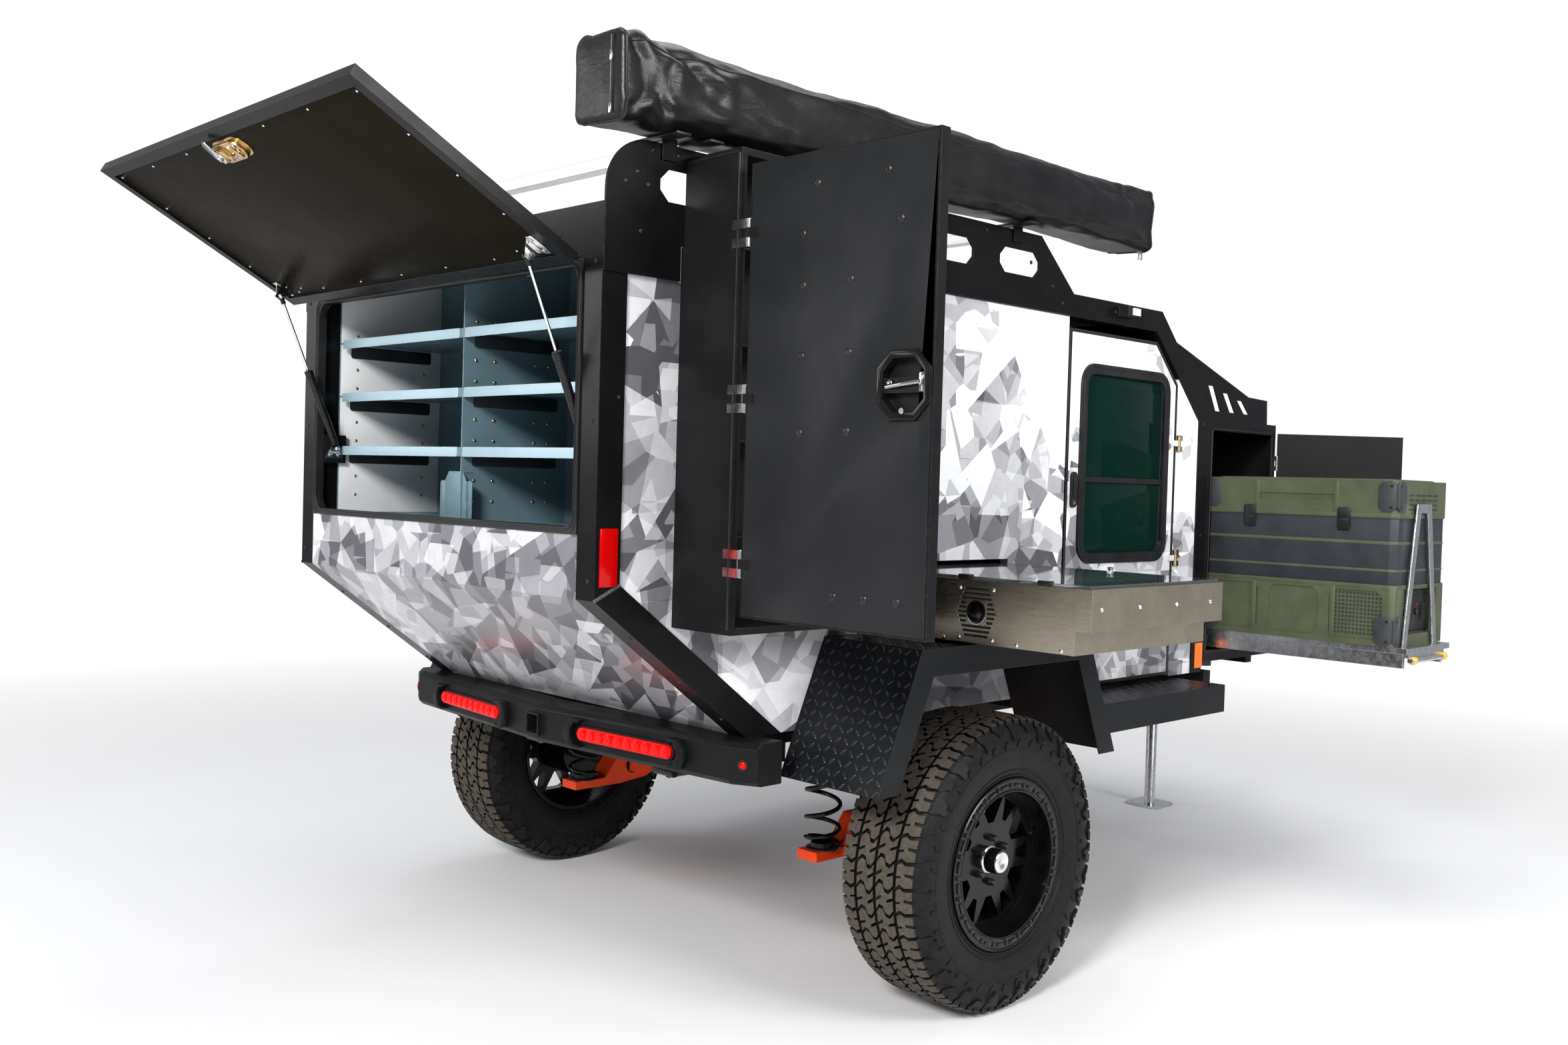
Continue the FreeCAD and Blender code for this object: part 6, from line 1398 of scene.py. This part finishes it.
def dress_fridge():
    x, y, z = ((FRIDGE_LOW[k], FRIDGE_HIGH[k]) for k in range(3))
    rear, end = y[0], x[1]
    on_slide("fridge_belt", "slate").add(cut_plate(
        (x[0] + 0.006, end - 0.0035), (rear + 0.0035, y[1] - 0.006), 0.022,
        (BELT[0] + 0.001, BELT[1] - 0.001), "z", 0.0006)).done()
    lips = on_slide("fridge_lips", "olive")
    for low, tall, out in ((BELT[1] - 0.004, 0.016, 0.0015), (BELT[0] - 0.012, 0.016, 0.0015),
                           (1.300, 0.012, -0.002), (1.205, 0.010, -0.002)):
        lips.add(cut_plate((x[0] + 0.004, end + out), (rear - out, y[1] - 0.004), 0.022,
                           (low, low + tall), "z", 0.003))
    lips.add(cut_plate((x[0] + 0.03, end - 0.03), (rear + 0.03, y[1] - 0.03), 0.03,
                       (z[1] - 0.004, z[1] + 0.004), "z", 0.003))
    for seam in (0.960, 1.263):
        for span in ((BELT[1] + 0.010, z[1] - 0.006), (z[0] + 0.014, BELT[0] - 0.010)):
            lips.add(block((seam - 0.010, seam + 0.010), (rear - 0.0015, rear + 0.004), span, 0.003))
    lips.done()
    guard, screws = on_slide("fridge_bumpers", "corner_grey"), on_slide("fridge_screws", "dark_steel")
    for low, high in ((BELT[1] + 0.018, z[1] - 0.004), (z[0] + 0.002, z[0] + 0.105)):
        levels = (low + 0.016, high - 0.016)
        for corner, way in ((end, -1), (x[0], 1)):
            u = sorted((corner + way * 0.004, corner + way * 0.070))
            guard.add(cut_plate(u, (low, high), 0.016, (rear - 0.003, rear + 0.006), ease=0.0025))
            screws.add(SCREW, *[facing(-Y, (corner + way * 0.022, rear - 0.0028, level))
                                for level in levels])
        guard.add(cut_plate((rear + 0.003, rear + 0.068), (low, high), 0.016, (end - 0.006, end + 0.003),
                            "x", 0.0025))
        screws.add(SCREW, *[facing(X, (end + 0.0028, rear + 0.022, level)) for level in levels])
    guard.done()
    screws.done()
    vent = on_slide("fridge_vents", "slate")
    vent.add(block((-0.0036, 0.0036), (-0.0010, 0.0010), (-0.0036, 0.0036), 0.0006, 1), *[
        Matrix.Translation((u, rear + 0.0045, v)) for u in row(1.275, 1.435, 13)
        for v in row(0.985, 1.125, 11)])
    turned = Matrix.Rotation(math.pi / 2, 4, "Z")
    vent.add(block((-0.020, 0.020), (-0.0010, 0.0010), (-0.0028, 0.0028), 0.001), *[
        Matrix.Translation((end + 0.0003, rear + 0.115 + 0.052 * k, v)) @ turned
        for k in range(5) for v in row(1.425, 1.475, 4)])
    vent.done()
    panel = on_slide("fridge_controls", "black_plastic")
    panel.add(block((end - 0.0215, end - 0.0185), (rear + 0.085, y[1] - 0.085),
                    (z[0] + 0.045, BELT[0] - 0.010), 0.001))
    panel.add(rounded_rod(0.011, 0, 0.008, 0.0015, 20),
              *[facing(X, (end - 0.019, rear + 0.13 + 0.05 * k, 1.06)) for k in range(3)])
    panel.add(block((end - 0.020, end - 0.016), (rear + 0.27, rear + 0.33), (1.03, 1.09), 0.001)).done()
    on_slide("fridge_light", "red_lens").add(
        dome(0.004, 0.003, 14), facing(X, (end - 0.0185, rear + 0.24, 1.085))).done()
    catch = on_slide("fridge_catches", "black_plastic")
    for u in (x[0] + 0.19, end - 0.19):
        catch.add(cut_plate((u - 0.024, u + 0.024), (BELT[1] - 0.050, BELT[1] + 0.030), 0.006,
                            (rear - 0.006, rear + 0.006), ease=0.002))
        catch.add(block((u - 0.017, u + 0.017), (rear - 0.010, rear - 0.004),
                        (BELT[1] - 0.044, BELT[1] - 0.008), 0.002))
    catch.done()


def dress_tray():
    end, bar_z = limits("fridge_tray")[1].x, FRIDGE_LOW.z - 0.043
    rear, front = FRIDGE_LOW.y + 0.035, FRIDGE_HIGH.y - 0.100
    on_slide("fridge_pull_bar", "bright_zinc").add(
        rounded_rod(0.0088, 0.006, front - rear - 0.006, 0.001, 24),
        facing(Y, (end - 0.004, rear, bar_z))).done()
    latch = on_slide("fridge_latches", "yellow")
    for y in (rear + 0.012, front - 0.034):
        latch.add(cut_plate((end - 0.020, end + 0.006), (bar_z - 0.0125, bar_z + 0.0125), 0.005,
                            (y, y + 0.022), ease=0.002))
    latch.done()


dress_fridge()
dress_tray()

# Kitchen drawer: knob in its grille, painted shade in the grille's slots, rivets, clips and the lid's
# pull

KNOB = Vector((1.164, -0.2068, 1.127))
WALL_Y, FASCIA_X = -0.206, 1.530
SLOT_PITCH, SLOT_REACH, SLOT_TAPER, SLOT_HALF, KNOB_ROOM = 0.0125, 0.065, 0.005, 0.0022, 0.034


def dress_kitchen():
    Piece("kitchen_knob", "alloy_black", "kitchen").add(
        lathe([(0.0300, -0.003), (0.0300, -0.0008), (0.0225, -0.0004), (0.0222, 0.005), (0.018, 0.0075),
               (0.009, 0.0086), (0, 0.0088)], 40), facing(-Y, KNOB)).done()
    Piece("knob_ring", "chrome", "kitchen").add(
        lathe([(0.0302, -0.002), (0.0330, -0.002), (0.0330, -0.0007), (0.0302, -0.0007)], 40),
        facing(-Y, KNOB)).done()
    # black strips sunk just inside the grille's slots: painted shade where the slots are dark inside
    slot_shade = Piece("grille_slot_shade", "black_plastic", "kitchen")
    for index in range(-5, 6):
        z, reach = KNOB.z + SLOT_PITCH * index, SLOT_REACH - SLOT_TAPER * abs(index)
        start = KNOB_ROOM if abs(index) < 3 else 0.0
        for side in (1, -1):
            slot_shade.add(block((KNOB.x + side * start, KNOB.x + side * (reach - 0.0003)),
                            (WALL_Y + 0.0005, WALL_Y + 0.0083), (z - SLOT_HALF, z + SLOT_HALF), 0.0))
    slot_shade.done()
    rivet = lathe([(0.0058, -0.0005), (0.0056, 0.0008), (0.0042, 0.0025), (0.002, 0.0032),
                   (0, 0.0033)], 16)
    side = [(x, WALL_Y, z) for x in (1.108, 1.220) for z in (1.0575, 1.190)]
    side += [(x, WALL_Y, 1.0525) for x in (0.80, 0.93, 1.055, 1.300, 1.440)]
    fascia = [(FASCIA_X, y, 1.163) for y in (-0.165, 0.010, 0.190, 0.365)]
    bolts("kitchen_rivets", "chrome", side, -Y, body="kitchen", shape=rivet)
    bolts("fascia_rivets", "chrome", fascia, X, body="kitchen", shape=rivet)
    clips = Piece("lid_clips", "black_plastic", "kitchen")
    for x in (0.86, 1.12, 1.38):
        clips.add(block((x - 0.020, x + 0.020), (-0.208, -0.188), (1.2145, 1.2265), 0.0025))
    clips.done()
    Piece("lid_pull", "bright_zinc", "kitchen").add(
        lathe([(0.011, 0), (0.009, 0.003), (0.006, 0.006), (0.010, 0.010), (0.010, 0.014),
               (0, 0.0155)], 24),
        facing(Z, (1.20, 0.370, 1.222))).done()


dress_kitchen()

# Wheels: ring bolts, nuts, cap and valve

RING_X, RING_RADIUS, RING_BOLTS = 0.128, 0.2205, 24
SPOKE_X, NUT_RADIUS, NUTS = 0.062, 0.0625, 6
RING_BEADS = (
    [(0.2015, -0.008), (0.2035, -0.0005), (0.2065, 0.0022), (0.2105, 0.0005), (0.2110, -0.001)],
    [(0.2300, -0.001), (0.2310, 0.0005), (0.2350, 0.0016), (0.2385, -0.0008), (0.2392, -0.004)],
)
NUT = [(0.0115, -0.004), (0.0115, 0.0), (0.0102, 0.002), (0.0095, 0.018), (0.0075, 0.021), (0, 0.0215)]
CAP = [(0.0405, -0.004), (0.0405, 0.003), (0.0385, 0.005), (0.0345, 0.006), (0.0345, 0.019),
       (0.0325, 0.0215), (0.0305, 0.022), (0.0305, 0.0415), (0.028, 0.0435), (0.012, 0.0438),
       (0.010, 0.0425), (0, 0.0425)]
VALVE = [(0.0055, -0.02), (0.0055, 0.010), (0.0045, 0.014), (0.0045, 0.026), (0.003, 0.028), (0, 0.028)]
HUB = Vector((TRACK, 0, AXLE_Z))


def round_hub(out, radius, angle):
    return HUB + Vector((out, radius * math.cos(angle), radius * math.sin(angle)))


def dress_wheels():
    bolt, washer = hexagon(0.0068, 0.005), rounded_rod(0.0082, -0.0005, 0.0012, 0.0004, 16)
    bar = block((-0.0002, 0.0028), (-0.0155, 0.0155), (-0.0048, 0.0048), 0.0012)
    for hand, mirror in HANDS:
        ring, bars, nuts, cap, valve = (
            Piece(f"{name}_{hand}", look, f"wheel_{hand}") for name, look in (
                ("ring_bolts", "dark_steel"), ("ring_bars", "alloy_black"), ("wheel_nuts", "dark_steel"),
                ("hub_cap", "bright_zinc"), ("valve", "rubber")))
        for k in range(RING_BOLTS):
            angle, mid = (math.tau * (k + part) / RING_BOLTS for part in (0.0, 0.5))
            spot = round_hub(RING_X, RING_RADIUS, angle)
            ring.add(bolt, mirror @ facing(X, spot, angle)).add(washer, mirror @ facing(X, spot))
            middle = Matrix.Translation(round_hub(RING_X, RING_RADIUS, mid))
            bars.add(bar, mirror @ middle @ Matrix.Rotation(mid + math.pi / 2, 4, "X"))
        for profile in RING_BEADS:
            bars.add(lathe(profile, 96), mirror @ facing(X, HUB + X * RING_X))
        nuts.add(lathe(NUT, 18), *[
            mirror @ facing(X, round_hub(SPOKE_X, NUT_RADIUS, math.tau * (k + 0.5) / NUTS))
            for k in range(NUTS)])
        cap.add(lathe(CAP, 48), mirror @ facing(X, HUB + X * SPOKE_X))
        valve.add(lathe(VALVE, 14), mirror @ facing(X, round_hub(0.045, 0.186, math.radians(15))))
        for piece in (ring, bars, nuts, cap, valve):
            piece.done()


dress_wheels()

# Running gear: springs, their seats and the arms' gold bolts

SPRING = Vector((0.600, -0.188, 0))
SPRING_WIRE, SPRING_TURNS, SPRING_RADIUS, SPRING_FOOT, SPRING_STEPS = 0.0068, 5.0, 0.050, 0.384, 200


def dress_gear():
    top = limits("coil_springs")[1].z - 0.004
    line = []
    for share in row(0, 1, SPRING_STEPS + 1):
        angle = math.tau * SPRING_TURNS * share
        # closer turns at both ends
        rise = share - 0.055 * math.sin(math.tau * share)
        line.append(SPRING + Vector((SPRING_RADIUS * math.cos(angle), SPRING_RADIUS * math.sin(angle),
                                     SPRING_FOOT + (top - SPRING_FOOT) * rise)))
    Piece("spring_coils", "strut_black").add(pipe(line, SPRING_WIRE, 12)).done("coil_springs", both=True)
    seat = [(0.030, -0.0005), (0.0475, -0.0005), (0.0475, 0.004), (0.036, 0.006), (0.034, 0.018),
            (0.030, 0.018)]
    Piece("spring_seats", "rubber").add(
        lathe(seat, 28, closed=True), facing(Z, SPRING + Z * 0.3795)).done(both=True)
    pivots = Piece("pivot_bolts", "gold_zinc")
    for x, way in ((0.552, -X), (0.648, X)):
        pivots.add(hexagon(0.014, 0.010), facing(way, (x, 0.500, 0.600)))
        pivots.add(rounded_rod(0.019, -0.001, 0.003, 0.0008, 24), facing(way, (x, 0.500, 0.600)))
    pivots.done(both=True)


dress_gear()

# Raised lozenges of the step and fender plates

LOZENGE = lathe([(0.0125, -0.0004), (0.0100, 0.0009), (0.0050, 0.0014), (0, 0.0015)], 12)
LOZENGE_PITCH, PLATE_MARGIN = 0.0285, 0.012


def diamond_plate(name, corners, normal):
    """Raised lozenges over a flat quadrilateral given by four corners in order."""
    # the lozenges take a lighter black than the plate under them: painted highlight
    piece = Piece(name, "lozenge_black")
    along, across = corners[1] - corners[0], corners[3] - corners[0]
    wide, tall = along.length, across.length
    flat = Matrix((along.normalized(), across.normalized(), Vector(normal).normalized()))
    flat = flat.transposed().to_4x4()
    squeeze = Matrix.Diagonal((1, 0.30, 1, 1))
    columns, lines = (int((long - 2 * PLATE_MARGIN) / LOZENGE_PITCH) for long in (wide, tall))
    for i in range(columns + 1):
        for j in range(lines + 1):
            u = PLATE_MARGIN + i * (wide - 2 * PLATE_MARGIN) / max(1, columns)
            v = PLATE_MARGIN + j * (tall - 2 * PLATE_MARGIN) / max(1, lines)
            start, end = corners[0].lerp(corners[1], u / wide), corners[3].lerp(corners[2], u / wide)
            turn = math.radians(45 if (i + j) % 2 else -45)
            spot = Matrix.Translation(start.lerp(end, v / tall))
            piece.add(LOZENGE, spot @ flat @ Matrix.Rotation(turn, 4, "Z") @ squeeze)
    piece.done(both=True)


def rectangle(x, y, z):
    """Corners between two ends in x and in y, with a height at each end in y."""
    return [Vector((x[0], y[0], z[0])), Vector((x[1], y[0], z[0])), Vector((x[1], y[1], z[1])),
            Vector((x[0], y[1], z[1]))]


def dress_plates():
    diamond_plate("step_lozenges", rectangle((0.776, 0.962), (0.626, 1.494), (0.7702, 0.7702)), Z)
    low, high = limits("fenders")
    flat, foot, inner, outer = 0.378, high.y, HALF + 0.003, high.x - 0.004
    for index, way in enumerate((-1, 1)):
        slope = rectangle((outer, inner), (way * foot, way * flat), (low.z, high.z))
        diamond_plate(f"fender_lozenges_{index}", slope[::way], (0, way * (high.z - low.z), foot - flat))
    diamond_plate("fender_lozenges_top", rectangle((inner, outer), (-flat, flat), (high.z, high.z)), Z)


dress_plates()
